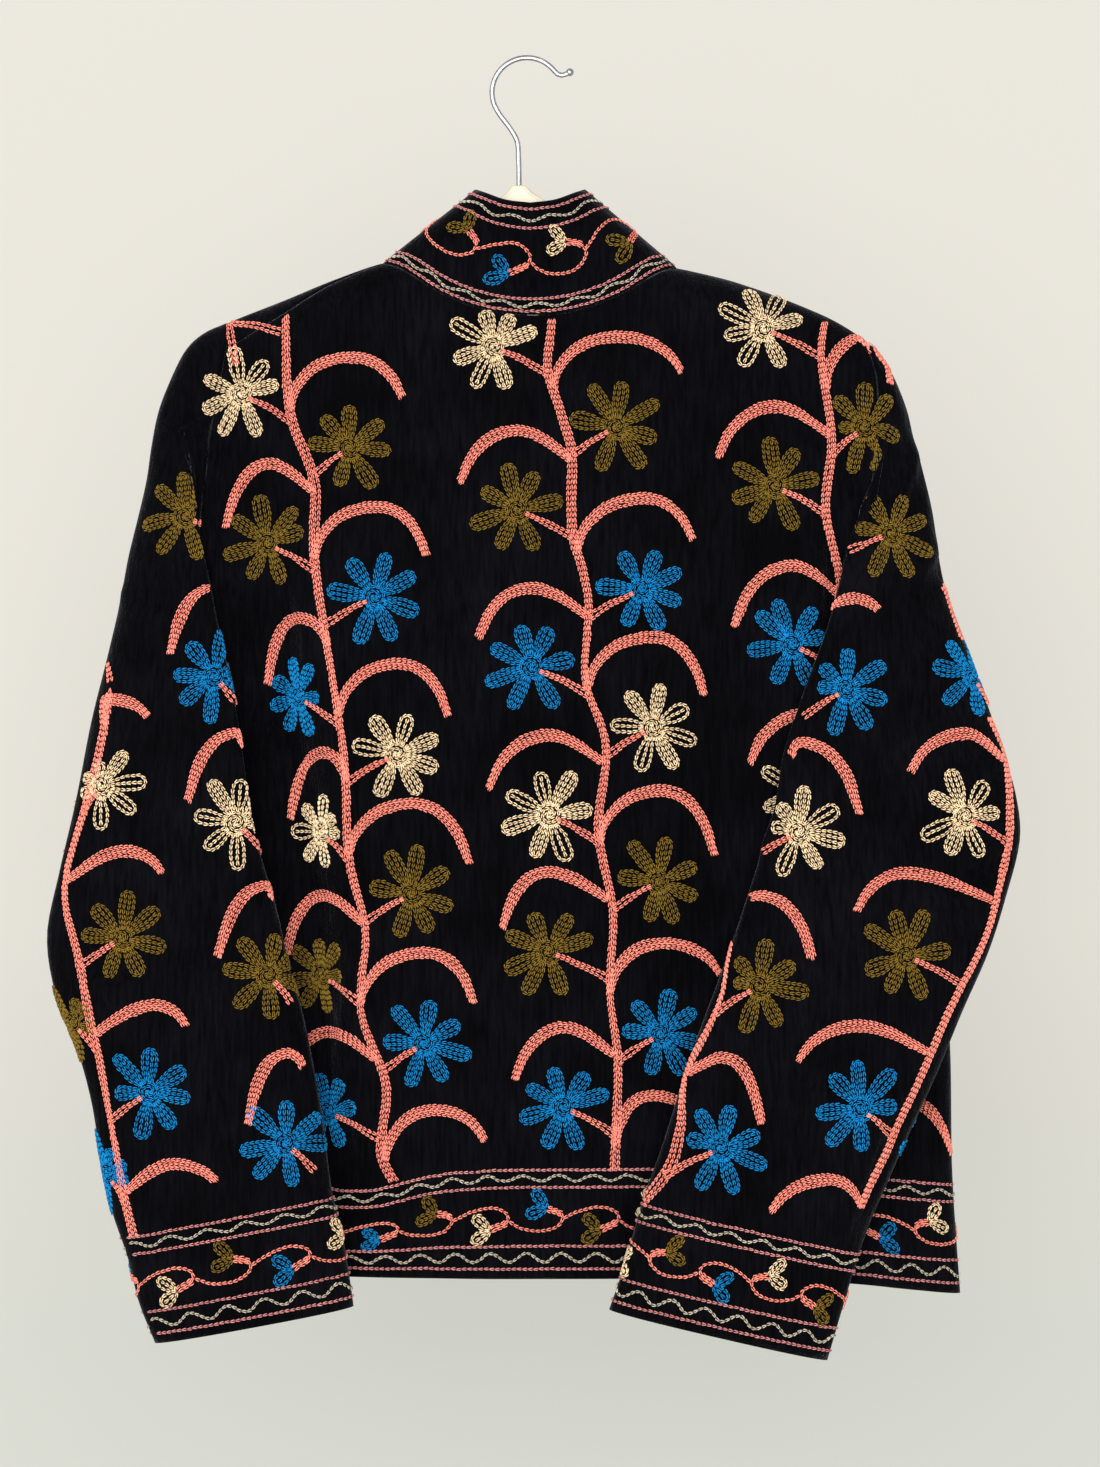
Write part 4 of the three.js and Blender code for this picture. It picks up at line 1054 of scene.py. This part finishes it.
class Edge:
    """Places on a piece by how far along its edge, and how far up from it, they are."""

    def __init__(self, points, ring=False, sag=0):
        self.ring = ring
        self.points = np.concatenate([points, points[:, :1]], axis=1) if ring else points
        points = self.points
        level = points + np.array((0, 0, 1)) * np.expand_dims(sag, -1)
        steps = np.linalg.norm(np.diff(level, axis=0), axis=2)
        self.up = np.concatenate([np.zeros((1, points.shape[1])), np.cumsum(steps, axis=0)])
        steps = np.linalg.norm(np.diff(points[0], axis=0), axis=1)
        self.along = np.concatenate([[0], np.cumsum(steps)])
        self.length = self.along[-1]

    def tall(self, along):
        return np.interp(along, self.along, self.up[-1])

    def column(self, column, height):
        up = self.up[:, column]
        row = np.clip((up <= height).sum(0) - 1, 0, len(up) - 2)
        each = np.arange(len(column))
        low, high = up[row, each], up[row + 1, each]
        share = ((height - low) / (high - low))[:, None]
        return mix(self.points[row, column], self.points[row + 1, column], share)

    def holds(self, along, margin):
        """Which places along the edge are on the piece, with a margin at its ends."""
        return self.ring | ((along > margin) & (along < self.length - margin))

    def places(self, along, height):
        along, height = np.broadcast_arrays(along, height)
        along = along % self.length if self.ring else np.clip(along, 0, self.length)
        column = np.clip(np.searchsorted(self.along, along) - 1, 0, len(self.along) - 2)
        share = (along - self.along[column]) / (self.along[column + 1] - self.along[column])
        both = self.column(column, height), self.column(column + 1, height)
        return mix(*both, share[:, None]) * MM


def edge_row(ground, edge, colour, height, wave=0.0, period=22.0, start=0.0, end=None):
    end = edge.length if end is None else end
    period = (end - start) / round((end - start) / period)
    along = np.arange(start, end + 0.1, 1.8 if wave else 4.0)
    level = height(along) if callable(height) else height
    level = level + wave * np.sin(2 * pi * (along - start) / period)
    line = [Vector(place) for place in edge.places(along, level + 0 * along)]
    sew(ground, line, colour)


# One length of the scrolling stem: (how far along, how high) from the upper heart's middle.
SCROLL_PERIOD = 69.0
RISE = [(-15, 0.8), (-9, -3.4), (1, -5.8), (12, -4.4), (18.6, 0.6), (17.4, 5.4), (11, 7.6)]
ARCH = [(18.8, 2), (28.5, 6.4), (38, 8.8), (47.5, 8.4), (54, 3.4), (51.5, -1), (45, -3.2)]
UPPER_BASE = (9, 8.2)
LOWER_BASE = (42, -5.2)
LOBE_HALF = 6.9  # half the length of a heart's lobe
LOBE_WIDE = 3.3
LOBE_ANGLE = 0.66  # between a lobe and the heart's own direction


def heart(ground, edge, base, way, lean, colour, stretch):
    """Two lobes that fork from the end of their stalk; way is +1 or -1 along the edge."""
    for side in (-1, 1):
        angle = lean + side * LOBE_ANGLE
        ahead = np.array((-cos(angle), sin(angle)))
        aside = np.array((-sin(angle), -cos(angle)))
        loop = []
        for turn in np.linspace(0.25, 2 * pi - 0.25, 15):
            out = LOBE_HALF * (1 - cos(turn))
            wide = LOBE_WIDE * sin(turn) * (0.6 + 0.055 * out)
            loop.append(ahead * out + aside * wide)
        middle = [ahead * out for out in (2.6, 6, 8.5, 11.2)]
        for line in (loop, middle):
            line = np.array(line)
            places = edge.places(base[0] + way * stretch * line[:, 0], base[1] + line[:, 1])
            sew(ground, [Vector(place) for place in places], colour, 0.1)


def scroll(ground, edge, colours, start, way=1, level=36.0, period=SCROLL_PERIOD, squeeze=1.0):
    """The scrolling stem with its hearts: upper and lower ones in turn."""

    def on_edge(line, origin):
        line = np.array(line, float)
        along = origin + way * line[:, 0] * period / SCROLL_PERIOD
        height = level(along) if callable(level) else level
        return along, height + line[:, 1] * squeeze

    for i, colour in enumerate(colours):
        origin = start + way * (i // 2) * period
        lower = i % 2
        stem = led(ARCH if lower else RISE, 2.0)
        along, height = on_edge(stem, origin)
        inside = edge.holds(along, 1)
        if inside.sum() < 3:
            continue
        line = [Vector(place) for place in edge.places(along[inside], height[inside])]
        sew(ground, line, "coral")
        base = LOWER_BASE if lower else UPPER_BASE
        along, height = on_edge([base, stem[-1], stem[-3], stem[-5]], origin)
        if not edge.holds(along[0], 14):
            continue
        line = [Vector(place) for place in edge.places(along, height)]
        band(ground, line, "coral", (2.4, 2.6, 2.0), 2, 0.25)
        lean = 0.1 if lower else 0.35
        heart(ground, edge, (along[0], height[0]), way, lean, colour, period / SCROLL_PERIOD)


# ---- Embroidery: where the motifs are ---------------------------------------------------------

BACK = Ground("back", "back")
BACK_TO_LEFT = Ground("back", "back", "left_front", "left_sleeve")
BACK_TO_RIGHT = Ground("back", "back", "right_sleeve")
LEFT = Ground("left_sleeve", "left_sleeve")
RIGHT = Ground("right_sleeve", "right_sleeve")
LEFT_FAR = Ground("left_sleeve", "left_sleeve", eye=FACING)
RIGHT_FAR = Ground("right_sleeve", "right_sleeve", eye=FACING)
LEFT_FRONT = Ground("left_front", "left_front", eye=FACING)
RIGHT_FRONT = Ground("right_front", "right_front", eye=FACING)
COLLAR = Ground("collar", "collar")

MIDDLE_STEM = [
    (17, -143), (15, -170), (13, -195), (21, -221), (28, -246), (28, -279), (29, -300),
    (35, -320), (39, -342), (38, -362), (37, -391),
    (50, -432), (45, -485), (54, -536), (52, -586), (57, -630), (55, -700),
]
LEFT_STEM = [
    (-152, -160), (-149, -222), (-134, -265), (-134, -312), (-121, -400), (-115, -442),
    (-112, -504), (-102, -548), (-105, -598), (-89, -646), (-92, -688), (-83, -708),
]
RIGHT_STEM = [
    (188, -161), (185, -186), (192, -239), (188, -284), (197, -328), (194, -365),
    (203, -403), (205, -480), (212, -560), (208, -640), (214, -704),
]
vine(BACK, MIDDLE_STEM, [
    (-21, -180, "cream", None), (-6, -283, "olive", (-43, -267)),
    (3, -382, "blue", (-31, -365)), (14, -475, "cream", (-25, -460)),
    (13, -561, "olive", (-16, -548)), (23, -659, "blue", (-8, -643)),
], 31, 50)
vine(BACK, MIDDLE_STEM, [
    (56, -231, "olive", (98, -197)), (72, -333, "blue", (105, -303)),
    (79, -420, "cream", (112, -401)), (83, -517, "olive", (119, -502)),
    (84, -613, "blue", (122, -576)), (76, -709, None, (103, -662)),
], 23, 57, drawn=False)
vine(BACK_TO_LEFT, LEFT_STEM, [
    (-180, -210, "cream", None), (-163, -304, "olive", (-190, -296)),
], 31, 50, drawn=False)
vine(BACK, LEFT_STEM, [
    (-144, -401, "blue", (-164, -394)), (-129, -486, "cream", (-149, -479)),
    (-129, -576, "olive", (-152, -564)), (-125, -662, "blue", (-152, -646)),
], 31, 50, reach=26)
vine(BACK, LEFT_STEM, [
    (-112, -244, "olive", (-78, -213)), (-96, -338, "blue", (-63, -313)),
    (-82, -437, "cream", (-49, -414)), (-73, -525, "olive", (-36, -507)),
    (-65, -619, "blue", (-33, -595)), (-58, -718, None, (-26, -682)),
], 23, 57, drawn=False)
vine(BACK, RIGHT_STEM, [
    (149, -169, "cream", None), (156, -268, "olive", (120, -251)),
    (167, -368, "blue", (130, -358)), (174, -462, "cream", (140, -444)),
    (166, -565, "olive", (138, -548)), (170, -660, "blue", (140, -645)),
], 31, 50)
vine(BACK_TO_RIGHT, RIGHT_STEM, [
    (212, -231, "olive", (229, -205)),
], 23, 57, drawn=False)
vine(BACK, RIGHT_STEM, [
    (237, -712, None, (268, -692)),
], 23, 57, drawn=False)

LEFT_INNER = [(-190, -330), (-180, -432), (-161, -532), (-142, -631), (-134, -700)]
LEFT_OUTER = [
    (-262, -395), (-268, -430), (-276, -463), (-291, -523), (-282, -567), (-275, -605),
    (-269, -630), (-261, -674), (-253, -718), (-247, -742),
]
vine(LEFT, LEFT_INNER, [
    (-215, -287, "olive", None), (-197, -388, "blue", (-225, -375)),
    (-183, -480, "cream", (-214, -468)), (-163, -576, "olive", (-195, -566)),
    (-152, -682, "blue", (-176, -671)),
], 46, 57, drawn=False, clear=False)
vine(LEFT, LEFT_OUTER, [
    (-268, -457, "cream", (-238, -414)), (-255, -553, "olive", (-229, -513)),
    (-238, -650, "blue", (-214, -609)), (-226, -750, None, (-195, -707)),
], 36, 55)
RIGHT_INNER = [
    (190, -330), (170, -430), (152, -474), (141, -505), (134, -536), (127, -566), (123, -588),
    (115, -608), (101, -636), (98, -654), (97, -672), (90, -697), (73, -720),
]
RIGHT_OUTER = [
    (290, -412), (301, -440), (304, -485), (298, -517), (289, -551),
    (266, -598), (255, -624), (243, -651), (234, -669), (226, -688), (217, -706), (209, -724),
]
vine(RIGHT, RIGHT_INNER, [
    (229, -298, "olive", None), (201, -396, "blue", (222, -347)),
    (171, -486, "cream", (210, -476)), (146, -583, "olive", (180, -567)),
    (122, -685, "blue", (148, -671)),
], 46, 57, drawn=False)
band(RIGHT, RIGHT.line(RIGHT_INNER[2:]), "coral", (1.5, 1.5, 2, 4, 3, 4.6, 5.6, 5), 3)
vine(RIGHT, RIGHT_OUTER, [
    (276, -476, "cream", (241, -449)), (239, -564, "olive", (207, -537)),
    (210, -660, "blue", (170, -631)), (190, -757, None, (153, -726)),
], 34, 52)

# Flowers that lie half over the sleeves' outer edges.
vine(LEFT, LEFT_OUTER, [
    (-264, -374, "blue", None), (-286, -606, "olive", None), (-264, -701, "blue", None),
], 36, 55, drawn=False)
vine(RIGHT, RIGHT_OUTER, [(280, -388, "blue", None)], 34, 52, drawn=False, clear=False)
band(RIGHT, RIGHT.line([(260, -330), (268, -341), (274, -366)]), "coral", (3.2, 5, 3), 3)

# The sides that face away: the outer stems' other flowers, and a vine on each front.
vine(LEFT_FAR, LEFT_OUTER, [
    (-226, -380, "blue", (-196, -352)), (-262, -482, "cream", None),
    (-236, -592, "olive", (-208, -567)), (-212, -690, "blue", (-185, -668)),
], 30, 50, drawn=False)
vine(RIGHT_FAR, RIGHT_OUTER, [
    (242, -376, "blue", (210, -352)), (278, -480, "cream", None),
    (246, -575, "olive", (215, -550)), (216, -668, "blue", (184, -648)),
], 30, 50, drawn=False)
FRONT_FLOWERS = [
    (-38, -98, "cream", None), (-46, -196, "olive", (-80, -182)), (-40, -296, "blue", (-74, -280)),
    (-42, -392, "cream", (-74, -378)), (-38, -488, "olive", (-70, -472)),
    (32, -146, "olive", (64, -116)), (36, -246, "blue", (66, -216)),
    (36, -342, "cream", (67, -314)), (38, -438, "olive", (68, -410)),
    (40, -530, "blue", (70, -504)),
]
FRONT_STEM = [
    (2, -22), (-4, -90), (4, -160), (-4, -230), (5, -300), (-3, -370), (5, -440), (-2, -500),
    (2, -560),
]
for ground, middle in ((LEFT_FRONT, -108), (RIGHT_FRONT, 122)):
    stem = [(middle + x, z - 140) for x, z in FRONT_STEM]
    flowers = [
        (middle + x, z - 140, colour, end and (middle + end[0], end[1] - 140))
        for x, z, colour, end in FRONT_FLOWERS
    ]
    vine(ground, stem, flowers, 34, 54)

# The left stem's turn over the shoulder.
band(BACK_TO_LEFT, BACK_TO_LEFT.line([(-187, -166), (-172, -167), (-155, -171)]), "coral", (3,), 2)
band(BACK_TO_LEFT, BACK_TO_LEFT.line([(-187, -166), (-186, -178), (-183, -192)]), "coral", (3,), 2)

# The bands round the hem, the cuffs and the collar.
LINES = (6.4, 20.7, 57.6, 68.4)
WAVES = ((13.4, 3.2), (63.2, 2.0))


def bordered(ground, points, ring=False, sag=0):
    edge = Edge(points, ring, sag)
    for height in LINES:
        edge_row(ground, edge, "rose", height)
    for height, wave in WAVES:
        edge_row(ground, edge, "straw", height, wave)
    return edge


hem = bordered(BACK, back, sag=hem_sag(back[..., 0], back[..., 2]))
scroll(
    BACK, hem, ["cream", "blue", "olive", "cream", "blue", "olive", "cream", "blue"], 71
)
scroll(BACK, hem, ["cream", "blue", "olive"], hem.length - 16, way=-1)
for ground, points in ((LEFT_FRONT, left_front), (RIGHT_FRONT, right_front)):
    edge = bordered(ground, points)
    scroll(ground, edge, ["olive", "cream", "blue", "olive", "cream", "blue"], 40)
for ground, points, colours, start, period in (
    (LEFT, left_sleeve, ["cream", "olive", "blue"], -86, 69),
    (RIGHT, right_sleeve, ["olive", "cream", "blue"], -79, 65),
):
    edge = bordered(ground, points[::-1], ring=True)
    scroll(ground, edge, colours * 3, start, period=period)


def over_collar(share):
    return lambda along: share * neck.tall(along)


neck = Edge(collar)
for share in (0.035, 0.144, 0.766, 0.937):
    edge_row(COLLAR, neck, "rose", over_collar(share))
edge_row(COLLAR, neck, "straw", over_collar(0.09), 1.5, 25)
edge_row(COLLAR, neck, "straw", over_collar(0.85), 1.6, 55)
scroll(
    COLLAR, neck, ["blue", "cream", "olive", "blue", "cream", "olive", "blue", "cream"],
    neck.length / 2 - 172, level=over_collar(0.45), period=104, squeeze=1.35,
)

# ---- Embroidery: the stitches ---------------------------------------------------------------


def stitch():
    """One chain stitch: two strands that part from its start and close over its end."""
    strands = bmesh.new()
    painted_light = strands.verts.layers.float.new("painted_light")
    for side in (-1, 1):
        strand = bmesh.ops.create_uvsphere(strands, u_segments=3, v_segments=3, radius=1)["verts"]
        for vert in strand:
            station = (-1, -0.5, 0.5, 1)
            ahead, aside, above = (np.interp(vert.co.z, station, way) for way in STRAND)
            # painted light: each strand is painted half in shade at its start, in full shade at
            # its end where it tucks under the next stitch, and painted as a highlight over its
            # middle
            vert[painted_light] = np.interp(vert.co.z, station, (0.5, 1, 1, 0))
            vert.co = Vector((
                ahead,
                side * aside + vert.co.x * STRAND_HALF,
                above + vert.co.y * STRAND_HALF,
            )) * MM
    bmesh.ops.recalc_face_normals(strands, faces=strands.faces)
    for face in strands.faces:
        face.smooth = True
    return strands


def stitched(name, rows, thread):
    """All the stitches of one thread on one piece, as one mesh."""
    rows = np.array(rows)
    marks = bpy.data.meshes.new(name)
    marks.vertices.add(len(rows))
    marks.vertices.foreach_set("co", rows[:, :3].ravel())
    turn = marks.attributes.new("turn", "QUATERNION", "POINT")
    turn.data.foreach_set("value", rows[:, 3:7].ravel())
    size = marks.attributes.new("size", "FLOAT_VECTOR", "POINT")
    size.data.foreach_set("vector", rows[:, 7:10].ravel())
    tone = marks.attributes.new("tone", "FLOAT", "POINT")
    tone.data.foreach_set("value", rows[:, 10])
    piece = bpy.data.objects.new(name, marks)
    bpy.context.scene.collection.objects.link(piece)
    piece.modifiers.new("stitches", "NODES").node_group = STITCHING
    bpy.context.view_layer.update()
    graph = bpy.context.evaluated_depsgraph_get()
    mesh = bpy.data.meshes.new_from_object(piece.evaluated_get(graph))
    piece.modifiers.clear()
    piece.data = mesh
    mesh.materials.clear()
    mesh.materials.append(thread)
    return piece


def stitching():
    """Nodes that set a stitch on each mark, turned and stretched as the mark says."""
    group = bpy.data.node_groups.new("stitching", "GeometryNodeTree")
    group.interface.new_socket("Geometry", in_out="INPUT", socket_type="NodeSocketGeometry")
    group.interface.new_socket("Geometry", in_out="OUTPUT", socket_type="NodeSocketGeometry")
    marks = put(group, "NodeGroupInput")
    turn = put(group, "GeometryNodeInputNamedAttribute", {"Name": "turn"}, data_type="QUATERNION")
    size = put(
        group, "GeometryNodeInputNamedAttribute", {"Name": "size"}, data_type="FLOAT_VECTOR"
    )
    one = show("stitch", stitch())
    model = put(group, "GeometryNodeObjectInfo", {"Object": one})
    placed = put(group, "GeometryNodeInstanceOnPoints", {
        "Points": marks.outputs[0],
        "Instance": model.outputs["Geometry"],
        "Rotation": turn.outputs[0],
        "Scale": size.outputs[0],
    })
    real = put(group, "GeometryNodeRealizeInstances", {"Geometry": placed.outputs[0]})
    put(group, "NodeGroupOutput", {"Geometry": real.outputs[0]})
    return group, one


def thread(name, deep, pale):
    material, tree, surface = finish_named("thread_" + name)
    tone = put(tree, "ShaderNodeAttribute", attribute_name="tone")
    painted_light = put(tree, "ShaderNodeAttribute", attribute_name="painted_light")
    place = put(tree, "ShaderNodeTexCoord").outputs["Object"]
    twist = put(tree, "ShaderNodeTexNoise", {"Vector": place, "Scale": 1400, "Detail": 2})
    # The colour goes from deep to pale with the stitch's random tone and with its painted light:
    # painted shade at a strand's ends, painted highlight over its middle.
    both = put(
        tree, "ShaderNodeMath", {0: tone.outputs["Fac"], 1: 0.16, 2: painted_light.outputs["Fac"]},
        operation="MULTIPLY_ADD",
    )
    share = put(
        tree, "ShaderNodeMapRange",
        {"Value": both.outputs[0], "From Min": -0.1, "From Max": 1.25},
    )
    colour = put(
        tree, "ShaderNodeMix", {"Factor": share.outputs[0], "A": deep, "B": pale},
        data_type="RGBA",
    )
    bump = put(tree, "ShaderNodeBump", {"Height": twist.outputs["Fac"], "Distance": 0.0003})
    feed(
        tree, surface, Base_Color=colour.outputs["Result"], Normal=bump.outputs[0],
        Roughness=0.85, Specular_IOR_Level=0.15,
    )
    return material


# Each thread's deep colour also serves as painted shade at the strands' ends, and its pale colour
# as painted highlight over their middles.
THREADS = {
    "coral": thread("coral", (0.5, 0.08, 0.055, 1), (1.0, 0.33, 0.25, 1)),
    "rose": thread("rose", (0.24, 0.06, 0.06, 1), (0.76, 0.31, 0.3, 1)),
    "cream": thread("cream", (0.3, 0.2, 0.1, 1), (0.98, 0.76, 0.48, 1)),
    "straw": thread("straw", (0.18, 0.15, 0.1, 1), (0.66, 0.59, 0.46, 1)),
    "olive": thread("olive", (0.035, 0.02, 0.001, 1), (0.23, 0.14, 0.018, 1)),
    "blue": thread("blue", (0.0, 0.035, 0.13, 1), (0.003, 0.24, 0.56, 1)),
}
STITCHING, one_stitch = stitching()
threads_on = {name: [] for name in pieces}
for (panel, colour), rows in sorted(sewn.items()):
    piece = stitched(panel + "_" + colour, rows, THREADS[colour])
    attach(piece, "root")
    threads_on[panel].append(piece)
bpy.data.objects.remove(one_stitch)

# ---- Stage, lights and camera ---------------------------------------------------------------


def quad(name, middle, across, up, material):
    sheet = bmesh.new()
    bmesh.ops.create_grid(sheet, x_segments=1, y_segments=1, size=0.5)
    for vert in sheet.verts:
        vert.co = Vector(middle) + vert.co.x * Vector(across) + vert.co.y * Vector(up)
    piece = show(name, sheet, material)
    return piece


def plaster():
    """Pale and glowing with painted light, brighter higher up; seen and shadowing only from its
    front, so that it hides nothing behind it.
    """
    material, tree, surface = finish_named("plaster")
    place = put(tree, "ShaderNodeTexCoord").outputs["Object"]
    height = put(tree, "ShaderNodeSeparateXYZ", {0: place}).outputs["Z"]
    # painted light: the glow rises from the lower colour to the brighter upper one between these
    # heights, and fills in the jacket's shadow on the wall; the floor glows evenly with the lower
    # colour
    share = put(
        tree, "ShaderNodeMapRange", {"Value": height, "From Min": -0.86, "From Max": -0.56}
    )
    painted_glow = put(
        tree, "ShaderNodeMix",
        {"Factor": share.outputs[0], "A": (0.42, 0.435, 0.395, 1), "B": (0.53, 0.51, 0.465, 1)},
        data_type="RGBA",
    )
    feed(
        tree, surface, Base_Color=(0.18, 0.175, 0.16, 1), Emission_Color=painted_glow.outputs["Result"],
        Emission_Strength=1, Roughness=0.9, Specular_IOR_Level=0.2,
    )
    clear = put(tree, "ShaderNodeBsdfTransparent")
    behind = put(tree, "ShaderNodeNewGeometry").outputs["Backfacing"]
    shadow = put(tree, "ShaderNodeLightPath").outputs["Is Shadow Ray"]
    away = put(tree, "ShaderNodeMath", {0: behind, 1: shadow}, operation="MAXIMUM")
    either = put(
        tree, "ShaderNodeMixShader",
        {0: away.outputs[0], 1: surface.outputs[0], 2: clear.outputs[0]},
    )
    tree.links.new(either.outputs[0], tree.nodes["Material Output"].inputs["Surface"])
    return material


PLASTER = plaster()
quad("floor", (0, 0.5, -1.25), (8, 0, 0), (0, 8, 0), PLASTER)
quad("wall", (0, 0.42, 0), (8, 0, 0), (0, 0, 5), PLASTER)


def lamp(name, place, toward, size, power):
    light = bpy.data.lights.new(name, "AREA")
    light.size = size
    light.energy = power
    stand = bpy.data.objects.new(name, light)
    stand.location = place
    stand.rotation_euler = (Vector(toward) - Vector(place)).to_track_quat("-Z", "Y").to_euler()
    bpy.context.scene.collection.objects.link(stand)


lamp("front", (-0.3, -4.6, 0.1), (0, 0, -0.42), 3.6, 310)
lamp("left", (-2.2, -1.9, 0.6), (0, 0, -0.4), 1.6, 9)
lamp("far_side", (-0.4, 2.4, 0.5), (0, 0, -0.4), 1.8, 40)

world = bpy.data.worlds.new("room")
world.use_nodes = True
world.node_tree.nodes["Background"].inputs["Color"].default_value = (0.93, 0.92, 0.9, 1)
world.node_tree.nodes["Background"].inputs["Strength"].default_value = 0.6
bpy.context.scene.world = world
bpy.context.scene.view_settings.view_transform = "Standard"

camera = bpy.data.cameras.new("camera")
camera.lens = 101.3
eye = bpy.data.objects.new("camera", camera)
eye.location = BEHIND
eye.rotation_euler = (pi / 2, 0, 0)
bpy.context.scene.collection.objects.link(eye)
bpy.context.scene.camera = eye
